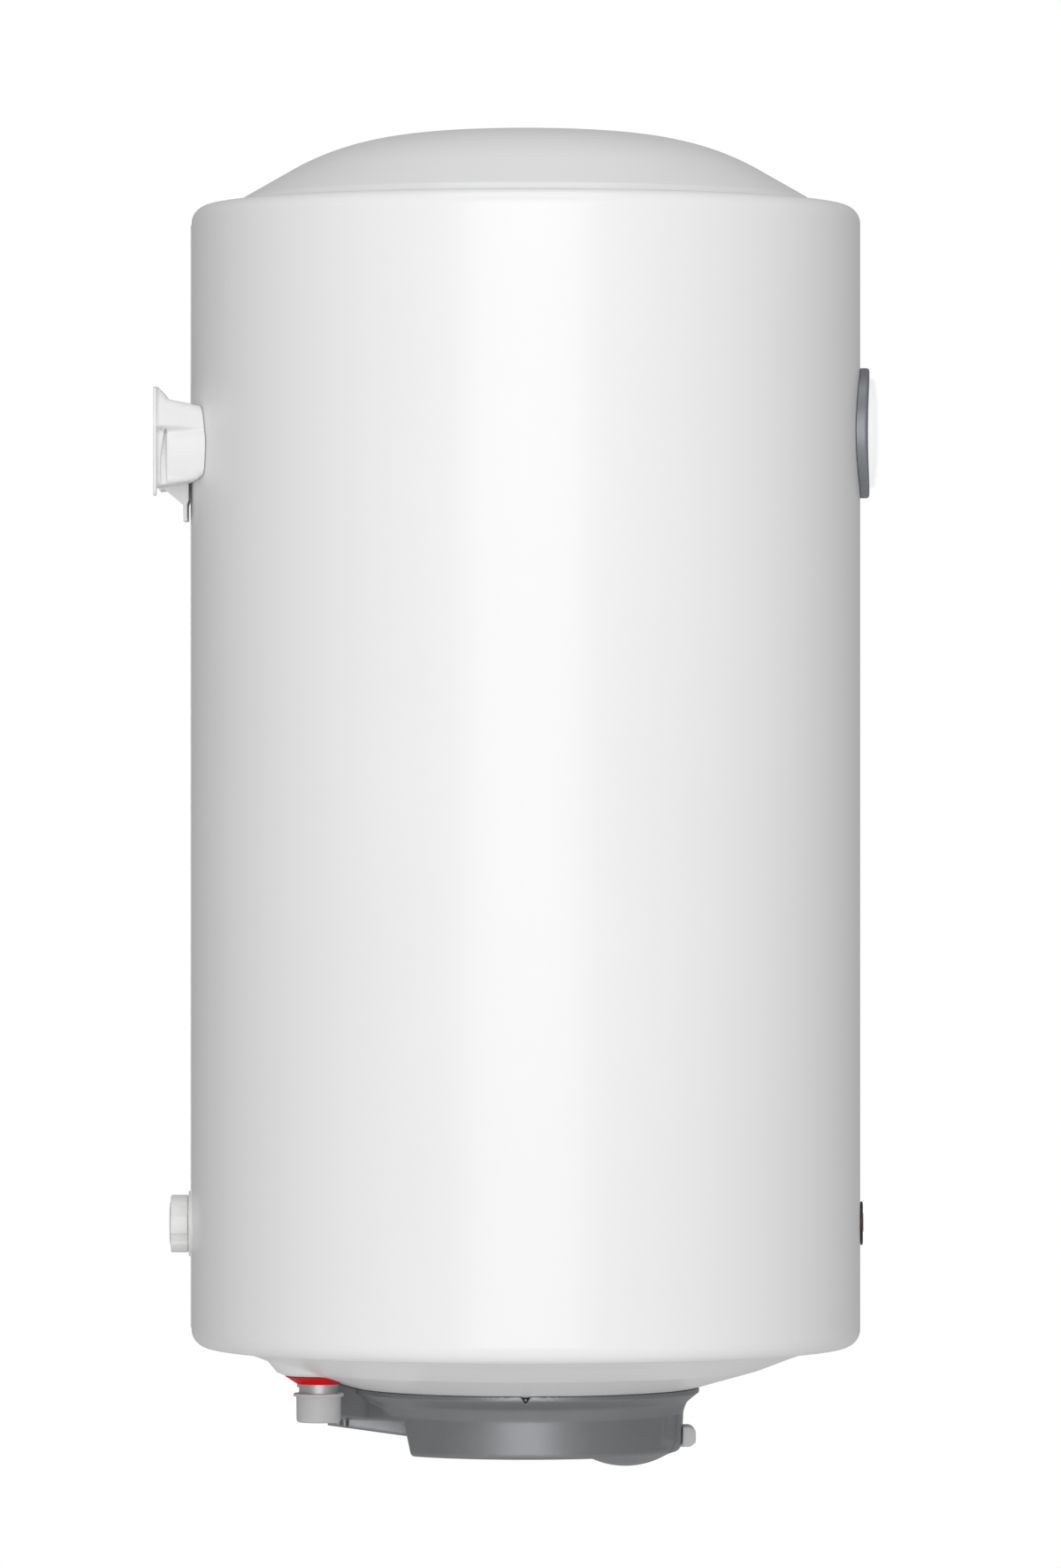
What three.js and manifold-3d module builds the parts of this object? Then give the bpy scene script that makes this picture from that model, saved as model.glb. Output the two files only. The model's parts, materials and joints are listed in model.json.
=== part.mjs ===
// Wall-hung electric storage water heater of about 100 litres, hung with its axis upright.
// Millimetres, +Z up. The origin is the centre of the wall plate's back face, and +Y points into
// the wall, so the front of the heater looks along -Y. The hot pipe is on the -X side.
// The tank and all that it carries are drawn about the tank's axis, in a group that stands
// WALL_TO_AXIS in front of the wall and TANK_RISE higher than the plate.

import * as THREE from 'three';
import { mergeVertices } from 'three/addons/utils/BufferGeometryUtils.js';
import Module from 'manifold-3d';

const wasm = await Module();
wasm.setup();

// Jacket and end covers.
const WALL_TO_AXIS = 245.1;
const TANK_RISE = 3.4;
const SHELL_RADIUS = 222.5;
const SHELL_SHEET = 1;
const EDGE_RADIUS = 11.8;
const SHELL_TOP = 156;
const SHELL_BOTTOM = -602.6;
const LIP_RADIUS = 192.2;
const LIP_TOP = 157;
const LIP_BOTTOM = -603.7;
const DOME_SHEET = 1.2;
const DOME_APEX = 205.7;
const DOME_SHOULDER = 160;
const DOME_DROP = 28.6;
const DOME_POWER = 3.38;

// Tank, its neck ring and the flange under it.
const TANK_RADIUS = 198;
const TANK_SHEET = 2;
const TANK_LOW = -545;
const TANK_HIGH = 82;
const HEAD_HEIGHT = 50;
const NECK_RADIUS = 60;
const FLANGE_RADIUS = 75;
const FLANGE_FACE = -612;
const BOLT_CIRCLE = 67;
const BOLT_COUNT = 6;
const BOLT_RADIUS = 4;

// Water pipes, with a 3/4 inch outside.
const PIPE_X = 50;
const PIPE_Y = 136.9;
const PIPE_RADIUS = 13;
const PIPE_END = -648;
const PAD_FACE = -618.9;
const PAD_RADIUS = 22.7;
const COLLAR_END = -624.6;
const CAP_TOP = -630.7;
const CAP_END = -650;

// Electrical cover under the heater.
const COVER_WALL = 2.5;
const COVER_RADIUS = 103.8;
const COVER_TOP = -630.6;
const COVER_FLOOR = -671.6;
const BASE_FLOOR = -649.5;
const COVER_CUT = 80.3;
const TONGUE_END = 131.7;
const TONGUE_HALF = 15.4;
const SCALLOP_RADIUS = 35;
const BUMP_RADIUS = 54.1;
const BUMP_Y = -66.1;
const BUMP_Z = -627.9;
const BUMP_HALF = 50;
const KNOB_HEIGHT = -662;
const KNOB_FLOOR = 97.6;
const KNOB_BASE_RADIUS = 9.2;
const KNOB_POCKET_RADIUS = 10.4;
const GRIP_LENGTH = 30;

// Front thermometer and badge, wall bracket and lower spacer.
const DIAL_HEIGHT = 5.2;
const BEZEL_RADIUS = 43.3;
const BEZEL_PROUD = 6.1;
const LENS_RADIUS = 37;
const BADGE_HEIGHT = -520.7;
const PLATE_HALF_WIDTH = 84;
const PLATE_BOTTOM = -35.2;
const PLATE_TOP = 36.35;
const PLATE_SHEET = 2;
const PLATE_ARCH = -27;
const PLATE_EAR = 16;
const PAN_HALF_WIDTH = 72;
const PAN_TOP_HALF_WIDTH = 69;
const PAN_STEP = 10;
const STRAP_HALF_WIDTH = 22;
const SPACER_HEIGHT = -520.9;
const SPACER_RADIUS = 19.5;

const GAP = 0.3;
const ROUND = 40;
const INNER = 24;
const MIDDLE = 24;
const SMALL = 14;
const FINE = 8;
const HEAD_STEPS = 3;
const TAU = Math.PI * 2;

// ---------------------------------------------------------------- shapes

// A closed profile of [radius, height] points, turned about +Z.
function turned(profile, facets = SMALL) {
  const points = profile.map(([radius, height]) => new THREE.Vector2(radius, height));
  return new THREE.LatheGeometry(points, facets).rotateX(Math.PI / 2);
}

// A solid rod along +Z.
function rod(radius, low, high, facets = SMALL) {
  return turned([[0, low], [radius, low], [radius, high], [0, high]], facets);
}

// A tube along +Z, open at both ends.
function sleeve(inner, outer, low, high, facets = SMALL) {
  return turned([[inner, low], [outer, low], [outer, high], [inner, high], [inner, low]], facets);
}

function block(low, high) {
  const size = high.map((value, i) => value - low[i]);
  const middle = high.map((value, i) => (value + low[i]) / 2);
  return new THREE.BoxGeometry(...size).translate(...middle);
}

// Points of an arc in a profile, from one angle to another in degrees.
function arc(radius, height, size, from, to, steps) {
  return Array.from({ length: steps + 1 }, (_, i) => {
    const angle = THREE.MathUtils.degToRad(from + ((to - from) * i) / steps);
    return [radius + size * Math.cos(angle), height + size * Math.sin(angle)];
  });
}

// Points along a tank head: an ellipse from the wall towards the axis. A neck ends it early.
function head(wallRadius, height, rise, neck) {
  const end = Math.acos(neck / TANK_RADIUS);
  return Array.from({ length: HEAD_STEPS + 1 }, (_, i) => {
    const angle = (end * i) / HEAD_STEPS;
    return [wallRadius * Math.cos(angle), height + rise * Math.sin(angle)];
  });
}

// A plan outline of [x, y] points, raised from one height to another.
function raised(outline, low, high) {
  const shape = new THREE.Shape(outline.map(([x, y]) => new THREE.Vector2(x, y)));
  const settings = { depth: high - low, bevelEnabled: false };
  return new THREE.ExtrudeGeometry(shape, settings).translate(0, 0, low);
}

// A side outline of [y, z] points, spread to both sides of x = 0.
function spread(outline, halfWidth) {
  const turn = new THREE.Matrix4().makeBasis(
    new THREE.Vector3(0, 1, 0),
    new THREE.Vector3(0, 0, 1),
    new THREE.Vector3(1, 0, 0),
  );
  return raised(outline, -halfWidth, halfWidth).applyMatrix4(turn);
}

// A round bar that follows a smooth curve through its points.
function bent(radius, points, steps, sides) {
  const path = new THREE.CatmullRomCurve3(points.map((point) => new THREE.Vector3(...point)));
  const section = new THREE.Shape().absarc(0, 0, radius, 0, TAU);
  const settings = { steps, curveSegments: sides / 2, extrudePath: path };
  return new THREE.ExtrudeGeometry(section, settings);
}

// ---------------------------------------------------------------- joining and cutting

function solidOf(geometry) {
  const bare = geometry.clone();
  bare.deleteAttribute('normal');
  bare.deleteAttribute('uv');
  const merged = mergeVertices(bare, 1e-4);
  const corners = Array.from(merged.index.array);
  const kept = [];
  for (let i = 0; i < corners.length; i += 3) {
    const [a, b, c] = corners.slice(i, i + 3);
    if (a !== b && b !== c && c !== a) kept.push(a, b, c);
  }
  const mesh = new wasm.Mesh({
    numProp: 3,
    vertProperties: new Float32Array(merged.attributes.position.array),
    triVerts: new Uint32Array(kept),
  });
  return new wasm.Manifold(mesh);
}

function geometryOf(solid) {
  const mesh = solid.getMesh();
  const geometry = new THREE.BufferGeometry();
  geometry.setAttribute('position', new THREE.BufferAttribute(mesh.vertProperties, 3));
  geometry.setIndex(new THREE.BufferAttribute(mesh.triVerts, 1));
  geometry.computeVertexNormals();
  return geometry;
}

function join(...geometries) {
  return geometryOf(geometries.map(solidOf).reduce((sum, next) => sum.add(next)));
}

function cut(geometry, ...tools) {
  return geometryOf(tools.map(solidOf).reduce((rest, tool) => rest.subtract(tool), solidOf(geometry)));
}

function overlapOf(first, second) {
  return geometryOf(solidOf(first).intersect(solidOf(second)));
}

// ---------------------------------------------------------------- scene graph

const heater = new THREE.Group();
const tank = new THREE.Group();
tank.position.set(0, -WALL_TO_AXIS, TANK_RISE);
heater.add(tank);

const finishes = {
  enamel: { color: 0xf4f4f4, roughness: 0.25, metalness: 0 },
  dome: { color: 0xdcdcdd, roughness: 0.3, metalness: 0 },
  coverGrey: { color: 0x8f9194, roughness: 0.5, metalness: 0 },
  paleGrey: { color: 0xbdbdbf, roughness: 0.5, metalness: 0 },
  bezelGrey: { color: 0x8d9195, roughness: 0.4, metalness: 0 },
  red: { color: 0xcc1414, roughness: 0.4, metalness: 0 },
  blue: { color: 0x1f4fb4, roughness: 0.4, metalness: 0 },
  black: { color: 0x202022, roughness: 0.45, metalness: 0 },
  white: { color: 0xf6f6f6, roughness: 0.5, metalness: 0 },
  steel: { color: 0xb8bcc0, roughness: 0.35, metalness: 0.9 },
  zinc: { color: 0xa9adb0, roughness: 0.4, metalness: 0.8 },
  copper: { color: 0xb8734a, roughness: 0.35, metalness: 0.9 },
  enamelBlue: { color: 0x2b4a66, roughness: 0.3, metalness: 0 },
  foam: { color: 0xe8d9a0, roughness: 0.95, metalness: 0 },
  magnesium: { color: 0x9c9ea0, roughness: 0.6, metalness: 0.7 },
  rubber: { color: 0x2a2a2a, roughness: 0.85, metalness: 0 },
  clear: { color: 0xe8f0f4, roughness: 0.05, metalness: 0, transparent: true, opacity: 0.35 },
  lampRed: { color: 0xd83020, roughness: 0.2, metalness: 0 },
};

function part(parent, name, finish, geometry) {
  const mesh = new THREE.Mesh(geometry, new THREE.MeshStandardMaterial(finishes[finish]));
  mesh.name = name;
  parent.add(mesh);
  return mesh;
}

// Pieces on the front or the back are drawn along +Z away from the tank's axis, then turned.
function frontPart(name, finish, height, geometry) {
  const mesh = part(tank, name, finish, geometry);
  mesh.rotation.x = Math.PI / 2;
  mesh.position.z = height;
}

function backPart(name, finish, height, geometry) {
  const mesh = part(tank, name, finish, geometry);
  mesh.rotation.x = -Math.PI / 2;
  mesh.position.z = height;
}

// ---------------------------------------------------------------- jacket, covers, foam and tank

const SPACER_HOLE = 9.5;
const PROBE_HOLE = 3.6;
const BADGE_PIN = 2.2;
const BRACKET_BOLT = 4;
const BOLT_HEIGHTS = [-8, 12];

// A hole through the jacket: a rod along +Y or -Y at some height, starting outside the tank.
function wallHole(radius, x, height, side) {
  const start = TANK_RADIUS + 0.5;
  const hole = rod(radius, start, SHELL_RADIUS + 8);
  return hole.rotateX((-side * Math.PI) / 2).translate(x, 0, height);
}

const jacketHoles = [
  wallHole(SPACER_HOLE, 0, SPACER_HEIGHT, 1),
  wallHole(PROBE_HOLE, 0, DIAL_HEIGHT, -1),
  wallHole(BADGE_PIN + GAP, 0, BADGE_HEIGHT, -1),
  ...BOLT_HEIGHTS.map((height) => wallHole(BRACKET_BOLT + 0.5, 0, height, 1)),
];

function shellGeometry() {
  const middle = SHELL_RADIUS - EDGE_RADIUS;
  const high = SHELL_TOP - EDGE_RADIUS;
  const low = SHELL_BOTTOM + EDGE_RADIUS;
  const inside = EDGE_RADIUS - SHELL_SHEET;
  return turned([
    [LIP_RADIUS, LIP_BOTTOM],
    ...arc(middle, low, EDGE_RADIUS, -90, 0, 3),
    ...arc(middle, high, EDGE_RADIUS, 0, 90, 3),
    [LIP_RADIUS, LIP_TOP],
    [LIP_RADIUS, LIP_TOP - SHELL_SHEET],
    ...arc(middle, high, inside, 90, 0, 2),
    ...arc(middle, low, inside, 0, -90, 2),
    [LIP_RADIUS, LIP_BOTTOM + SHELL_SHEET],
    [LIP_RADIUS, LIP_BOTTOM],
  ], ROUND);
}

// Height of the top dome inside its shoulder: flat in the middle, steeper outwards.
function domeHeight(radius) {
  return DOME_APEX - DOME_DROP * (radius / DOME_SHOULDER) ** DOME_POWER;
}

function topDomeGeometry() {
  const rings = [DOME_SHOULDER, 134, 104, 66];
  const outside = rings.map((radius) => [radius, domeHeight(radius)]);
  const inside = rings.map((radius) => [radius - 0.6, domeHeight(radius) - DOME_SHEET]).reverse();
  return turned([
    [LIP_RADIUS - 0.6, 151],
    [LIP_RADIUS - 0.6, 157.6],
    [187.5, 161.4],
    ...outside,
    [0, DOME_APEX],
    [0, DOME_APEX - DOME_SHEET],
    ...inside,
    [186.5, 160.4],
    [LIP_RADIUS - 1.8, 157],
    [LIP_RADIUS - 1.8, 151],
    [LIP_RADIUS - 0.6, 151],
  ], ROUND);
}

// The lower cone: a steeper outer band, then a flatter middle with the access opening.
const CONE = [[111, -630.2], [156, -617.5], [180, -608.4], [LIP_RADIUS - 0.6, -604.3]];

function pipePlace(side) {
  return [side * PIPE_X, PIPE_Y];
}

// A pipe pad: a level boss on the sloping cover, centred on a pipe, with a chamfer and steep flanks.
function pipePad(side, grow) {
  const [x, y] = pipePlace(side);
  return turned([
    [0, PAD_FACE - grow],
    [PAD_RADIUS + grow, PAD_FACE - grow],
    [27.5 + grow, -616.8 - grow],
    [32.4 + grow, -611],
    [35.5 + grow, -606.9],
    [0, -606.9],
  ], MIDDLE).translate(x, y, 0);
}

function bottomDomeGeometry() {
  const upper = CONE.map(([radius, height]) => [radius, height + DOME_SHEET]).reverse();
  const edge = LIP_RADIUS - 0.6;
  const sheet = turned([
    ...CONE,
    [edge, -597],
    [edge - DOME_SHEET, -597],
    [edge - DOME_SHEET, -603.1],
    ...upper.slice(1),
    CONE[0],
  ], ROUND);
  const above = turned([[0, upper.at(-1)[1]], ...[...upper].reverse(), [230, -560], [0, -560]], ROUND);
  const pads = [-1, 1].map((side) => cut(pipePad(side, 0), above));
  const holes = [-1, 1].map((side) => {
    const [x, y] = pipePlace(side);
    return rod(PIPE_RADIUS + 1, -640, -560).translate(x, y, 0);
  });
  return cut(join(sheet, ...pads), ...holes);
}

function tankGeometry() {
  const inner = TANK_RADIUS - TANK_SHEET;
  const bottomOut = head(TANK_RADIUS, TANK_LOW, -HEAD_HEIGHT, NECK_RADIUS);
  const bottomIn = head(inner, TANK_LOW, TANK_SHEET - HEAD_HEIGHT, NECK_RADIUS);
  const body = turned([
    [NECK_RADIUS - 6, FLANGE_FACE],
    [FLANGE_RADIUS, FLANGE_FACE],
    [FLANGE_RADIUS, FLANGE_FACE + 6],
    [NECK_RADIUS, FLANGE_FACE + 6],
    ...bottomOut.reverse(),
    ...head(TANK_RADIUS, TANK_HIGH, HEAD_HEIGHT, 0),
    ...head(inner, TANK_HIGH, HEAD_HEIGHT - TANK_SHEET, 0).reverse(),
    ...bottomIn,
    [NECK_RADIUS - 6, TANK_LOW - HEAD_HEIGHT + TANK_SHEET],
    [NECK_RADIUS - 6, FLANGE_FACE],
  ], INNER);
  const pipeHoles = [-1, 1].map((side) => {
    const [x, y] = pipePlace(side);
    return rod(PIPE_RADIUS + 0.5, -600, -560, MIDDLE).translate(x, y, 0);
  });
  return cut(body, ...pipeHoles, ...boltHoles());
}

const boltPlaces = Array.from({ length: BOLT_COUNT }, (_, i) => {
  const angle = (TAU * (i + 0.5)) / BOLT_COUNT;
  return [BOLT_CIRCLE * Math.cos(angle), BOLT_CIRCLE * Math.sin(angle)];
});

// Clearance holes for the flange bolts, long enough for the tank's ring, the gasket and the flange.
function boltHoles() {
  return boltPlaces.map(([x, y]) => rod(BOLT_RADIUS + 0.4, -630, -600, FINE).translate(x, y, 0));
}

function foamGeometry() {
  const near = TANK_RADIUS + 0.8;
  const far = SHELL_RADIUS - SHELL_SHEET - 0.7;
  const bottomIn = head(near, TANK_LOW, -HEAD_HEIGHT - 0.8, NECK_RADIUS);
  const body = turned([
    [NECK_RADIUS + 1, -598],
    [82, -598],
    [82, -625.5],
    [112, -626.5],
    [155, -614.2],
    [188, -601.5],
    [188, -596],
    [209, -596],
    [far, -586],
    [far, 143],
    [209, 150],
    [189.5, 150],
    [187, 153],
    [158, 170],
    [104, 192],
    [0, 200],
    ...head(near, TANK_HIGH, HEAD_HEIGHT + 0.8, 0).reverse(),
    ...bottomIn,
    [NECK_RADIUS + 1, -598],
  ], INNER);
  const pipes = [-1, 1].map((side) => {
    const [x, y] = pipePlace(side);
    return rod(PIPE_RADIUS + 1, -640, -560).translate(x, y, 0);
  });
  const pads = [-1, 1].map((side) => pipePad(side, 1));
  return cut(body, ...pipes, ...pads, ...jacketHoles);
}

part(tank, 'outer_shell', 'enamel', cut(shellGeometry(), ...jacketHoles));
part(tank, 'top_dome_cover', 'dome', topDomeGeometry());
part(tank, 'bottom_dome_cover', 'enamel', bottomDomeGeometry());
part(tank, 'insulation_foam', 'foam', foamGeometry());
part(tank, 'inner_tank', 'enamelBlue', tankGeometry());

// ---------------------------------------------------------------- water pipes

// A coloured collar that widens up to the pad, cut where the cover slopes down past it.
function collarGeometry(side) {
  const [x, y] = pipePlace(side);
  const inner = PIPE_RADIUS + 0.4;
  const high = PAD_FACE - GAP;
  const ring = turned([
    [inner, COLLAR_END], [inner + 0.7, COLLAR_END], [PAD_RADIUS, high], [inner, high], [inner, COLLAR_END],
  ], MIDDLE);
  return underCone(ring.translate(x, y, 0));
}

function capGeometry() {
  return turned([
    [0, CAP_END],
    [12.6, CAP_END],
    [14.65, CAP_END + 2],
    [14.65, CAP_TOP - 2],
    [16.65, CAP_TOP - 2],
    [16.65, CAP_TOP],
    [PIPE_RADIUS + GAP, CAP_TOP],
    [PIPE_RADIUS + GAP, CAP_END + 1.6],
    [0, CAP_END + 1.6],
  ], MIDDLE);
}

function diffuserGeometry() {
  const tube = turned([
    [7.5, -640], [9, -640], [9, -512], [0, -512], [0, -513.5], [7.5, -513.5], [7.5, -640],
  ]);
  return cut(tube, block([-12, -3, -530], [12, 3, -518]), block([-3, -12, -530], [3, 12, -518]));
}

const waterSides = [
  { side: -1, name: 'hot', pipe: 'outlet', collar: 'red' },
  { side: 1, name: 'cold', pipe: 'inlet', collar: 'blue' },
];
for (const { side, name, pipe, collar } of waterSides) {
  const [x, y] = pipePlace(side);
  const nipple = sleeve(10, PIPE_RADIUS, PIPE_END, -568, 24);
  part(tank, `${name}_${pipe}_nipple`, 'steel', nipple).position.set(x, y, 0);
  part(tank, `${name}_pipe_collar`, collar, collarGeometry(side));
  part(tank, `${name}_pipe_cap`, 'paleGrey', capGeometry()).position.set(x, y, 0);
}
part(tank, 'hot_outlet_tube', 'steel', sleeve(7.5, 9, -640, 100)).position.set(-PIPE_X, PIPE_Y, 0);
part(tank, 'cold_inlet_diffuser', 'white', diffuserGeometry()).position.set(PIPE_X, PIPE_Y, 0);

// ---------------------------------------------------------------- heater flange and what it carries

const ELEMENT_X = 14;
const ANODE_Y = -26;
const POCKET_Y = 26;
const SCREW_X = 42;
const GASKET_SHEET = 2.6;
const FLANGE_SHEET = 4;
const gasketTop = FLANGE_FACE - GAP;
const flangeTop = gasketTop - GASKET_SHEET - GAP;
const flangeLow = flangeTop - FLANGE_SHEET;

function flangeGeometry() {
  const boss = rod(5, flangeLow - 9, flangeTop - 1);
  const bosses = [-1, 1].map((side) => boss.clone().translate(side * SCREW_X, 0, 0));
  const plate = join(rod(FLANGE_RADIUS, flangeLow, flangeTop, INNER), ...bosses);
  const holes = [
    ...boltHoles(),
    ...[-1, 1].map((side) => rod(4.8, -640, -600, FINE).translate(side * ELEMENT_X, 0, 0)),
    ...[-1, 1].map((side) => rod(2.5, -640, flangeTop - 2, FINE).translate(side * SCREW_X, 0, 0)),
    rod(3.4, -640, -600, FINE).translate(0, ANODE_Y, 0),
    rod(5.6, -640, -600, FINE).translate(0, POCKET_Y, 0),
  ];
  return cut(plate, ...holes);
}

function gasketGeometry() {
  const ring = sleeve(55, FLANGE_RADIUS - 0.5, gasketTop - GASKET_SHEET, gasketTop, INNER);
  return cut(ring, ...boltHoles());
}

function boltGeometry() {
  const headLow = flangeLow - GAP - 5;
  const hexagon = rod(7.3, headLow, flangeLow - GAP, 6);
  return join(hexagon, rod(BOLT_RADIUS, headLow + 1, -600, 12));
}

function elementGeometry() {
  const leg = [[ELEMENT_X, -634], [ELEMENT_X, -606], [ELEMENT_X + 3, -585], [30, -555], [32, -520]];
  const turn = arc(0, -330, 32, 0, 180, 4);
  const right = leg.map(([x, z]) => [x, 0, z]);
  const left = [...leg].reverse().map(([x, z]) => [-x, 0, z]);
  return bent(4.25, [...right, ...turn.map(([x, z]) => [x, 0, z]), ...left], 36, 8);
}

part(tank, 'flange_gasket', 'rubber', gasketGeometry());
part(tank, 'heater_flange', 'zinc', flangeGeometry());
boltPlaces.forEach(([x, y], i) => {
  part(tank, `flange_bolt_${i + 1}`, 'zinc', boltGeometry()).position.set(x, y, 0);
});
part(tank, 'heating_element', 'copper', elementGeometry());
const anode = turned([[0, -634], [3, -634], [3, -604], [10.5, -604], [10.5, -380], [0, -380]]);
part(tank, 'anode_rod', 'magnesium', anode).position.y = ANODE_Y;
const anodeNut = cut(rod(5.8, flangeLow - GAP - 5, flangeLow - GAP, 6), rod(3.3, -640, -600, FINE));
part(tank, 'anode_nut', 'zinc', anodeNut).position.y = ANODE_Y;
const pocket = turned([
  [4, -628], [5, -628], [5, -350], [0, -350], [0, -351.5], [4, -351.5], [4, -628],
]);
part(tank, 'sensor_pocket', 'copper', pocket).position.y = POCKET_Y;

// ---------------------------------------------------------------- electrical cover

// Round body of the cover: a wall that flares into a lip under the heater.
function coverRound(floor, inset, top) {
  return turned([
    [0, floor + inset],
    [COVER_RADIUS - 5 - inset, floor + inset],
    [COVER_RADIUS - 1.4 - inset, floor + inset + 3],
    [COVER_RADIUS - inset, Math.max(floor + inset + 4, FLARE_START)],
    [107.9 - inset, -638.5],
    [112.1 - inset, -634.9],
    [115.4 - inset, -632.4],
    [115.4 - inset, top],
    [0, top],
  ], ROUND);
}

// Everything in front of the slanted rear face of the deep part.
function deepSide(inset) {
  const back = COVER_CUT - inset;
  const front = -170;
  return spread([
    [back - 4.9, -672.5], [back, -650], [back, -600], [front, -600], [front, -700], [back - 6.8, -700],
  ], 130);
}

// Plan of the rear extension: it narrows between the pipes along two scallops.
function extensionOutline(inset) {
  const scallop = Array.from({ length: 5 }, (_, i) => {
    const angle = THREE.MathUtils.degToRad(-73 + (64.5 * i) / 4);
    const radius = SCALLOP_RADIUS + inset;
    return [-PIPE_X + radius * Math.cos(angle), PIPE_Y + radius * Math.sin(angle)];
  });
  const left = [[-66 + inset, 78], ...scallop.map(([x, y]) => [x, Math.min(y, TONGUE_END - inset)])];
  const right = left.map(([x, y]) => [-x, y]).reverse();
  return [...right, ...left].reverse();
}

function extension(inset, top) {
  return raised(extensionOutline(inset), BASE_FLOOR + inset, top);
}

function tongue(inset) {
  const end = TONGUE_END - inset;
  const outline = [
    [60, -645], [60, -663.2 + inset], [78.7, -661.7 + inset], [end, -654.4 + inset], [end, -645],
  ];
  return spread(outline, TONGUE_HALF - inset);
}

function bump(inset) {
  const reach = BUMP_HALF - inset;
  const rings = [-1, -0.5, 0, 0.5, 1].map((step) => {
    const offset = step * reach;
    return [BUMP_RADIUS - inset - 0.005 * offset * offset, offset];
  });
  const barrel = turned([[0, -reach], ...rings, [0, reach]], MIDDLE);
  barrel.rotateY(Math.PI / 2).translate(0, BUMP_Y, BUMP_Z);
  return overlapOf(barrel, rod(COVER_RADIUS - inset, -700, -645, ROUND));
}

// A body under the cone only: what would reach into the lower dome is cut away.
function underCone(geometry) {
  const rise = CONE.map(([radius, height]) => [radius, height - 0.4]);
  const above = turned([[0, rise[0][1]], ...rise, [240, -590], [0, -590]], ROUND);
  return cut(geometry, above);
}

function knobPocket(radius, floor) {
  return rod(radius, floor, 130, MIDDLE).rotateX(Math.PI / 2).translate(0, 0, KNOB_HEIGHT);
}

const SCREW_POST = 7;
const FLARE_START = -646;
const SCREW_SEAT = -652;
const SCREW_HOLE = 2.4;
const CLAMP_X = 9;
const CLAMP_Y = 104;
const LAMP_X = 24;
const LAMP_HEIGHT = -644;
const GLAND_HEIGHT = -641;

// The same piece on both sides of x = 0.
function bothSides(x, y, geometry) {
  return [-1, 1].map((side) => geometry.clone().translate(side * x, y, 0));
}

// A hole through the cover's front wall, along Y.
function frontHole(radius, x, height) {
  return rod(radius, 80, 120, 16).rotateX(Math.PI / 2).translate(x, 0, height);
}

function coverGeometry() {
  const deep = overlapOf(coverRound(COVER_FLOOR, 0, COVER_TOP), deepSide(0));
  const shallow = coverRound(BASE_FLOOR, 0, COVER_TOP);
  const outside = join(deep, shallow, extension(0, -618), tongue(0), bump(0));
  const hollow = join(
    overlapOf(coverRound(COVER_FLOOR, COVER_WALL, -600), deepSide(COVER_WALL)),
    coverRound(BASE_FLOOR, COVER_WALL, -600),
    extension(COVER_WALL, -600),
    tongue(COVER_WALL),
    bump(COVER_WALL),
  );
  const keptBehindKnob = knobPocket(KNOB_POCKET_RADIUS + COVER_WALL, KNOB_FLOOR - COVER_WALL);
  const pocket = knobPocket(KNOB_POCKET_RADIUS, KNOB_FLOOR);
  const shell = cut(underCone(outside), cut(hollow, keptBehindKnob), pocket);
  return cut(
    join(
      shell,
      ...bothSides(SCREW_X, 0, sleeve(SCREW_HOLE, SCREW_POST, COVER_FLOOR + 1, -632)),
      ...bothSides(CLAMP_X, CLAMP_Y, rod(2.6, -658.5, -647, 12)),
    ),
    ...bothSides(SCREW_X, 0, rod(5, -680, SCREW_SEAT)),
    ...bothSides(SCREW_X, 0, rod(SCREW_HOLE, -660, -630, 12)),
    ...bothSides(CLAMP_X, CLAMP_Y, rod(1.4, -655, -640, 10)),
    frontHole(3.3, LAMP_X, LAMP_HEIGHT),
    frontHole(3.6, 0, KNOB_HEIGHT),
    rod(6.3, 120, 150, 16).rotateX(-Math.PI / 2).translate(0, 0, GLAND_HEIGHT),
  );
}

part(tank, 'bottom_cover', 'coverGrey', coverGeometry());

for (const [i, side] of [-1, 1].entries()) {
  const screwLow = SCREW_SEAT - GAP - 2.6;
  const screw = join(rod(4.4, screwLow, SCREW_SEAT - GAP, 16), rod(2, screwLow + 1, flangeTop - 3, 12));
  part(tank, `cover_screw_${i + 1}`, 'zinc', screw).position.x = side * SCREW_X;
  const clampScrew = join(rod(2.4, -642.7, -640.5, 12), rod(1.1, -652, -641, 10));
  part(tank, `clamp_screw_${i + 1}`, 'zinc', clampScrew).position.set(side * CLAMP_X, CLAMP_Y, 0);
}
const clamp = cut(
  block([-12, CLAMP_Y - 4, -646.7], [12, CLAMP_Y + 4, -643]),
  ...bothSides(CLAMP_X, CLAMP_Y, rod(1.4, -655, -635, 10)),
);
part(tank, 'cable_clamp', 'black', clamp);

const glandFlange = TONGUE_END + GAP;
const gland = turned([
  [4.2, 125], [6, 125], [6, glandFlange], [8, glandFlange], [7.4, TONGUE_END + 3], [4.2, TONGUE_END + 3],
  [4.2, 125],
], 24);
backPart('cable_gland', 'black', GLAND_HEIGHT, gland);

// ---------------------------------------------------------------- thermostat, cut-out and terminals

const thermostatBore = rod(3.4, 82, 100, 16).rotateX(Math.PI / 2).translate(0, 0, KNOB_HEIGHT);
const thermostatBox = join(
  block([-17, -84, -673], [17, -48, -644]),
  rod(6, 83, 92, 20).rotateX(Math.PI / 2).translate(0, 0, KNOB_HEIGHT),
);
part(tank, 'thermostat_body', 'black', cut(thermostatBox, thermostatBore));

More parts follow.
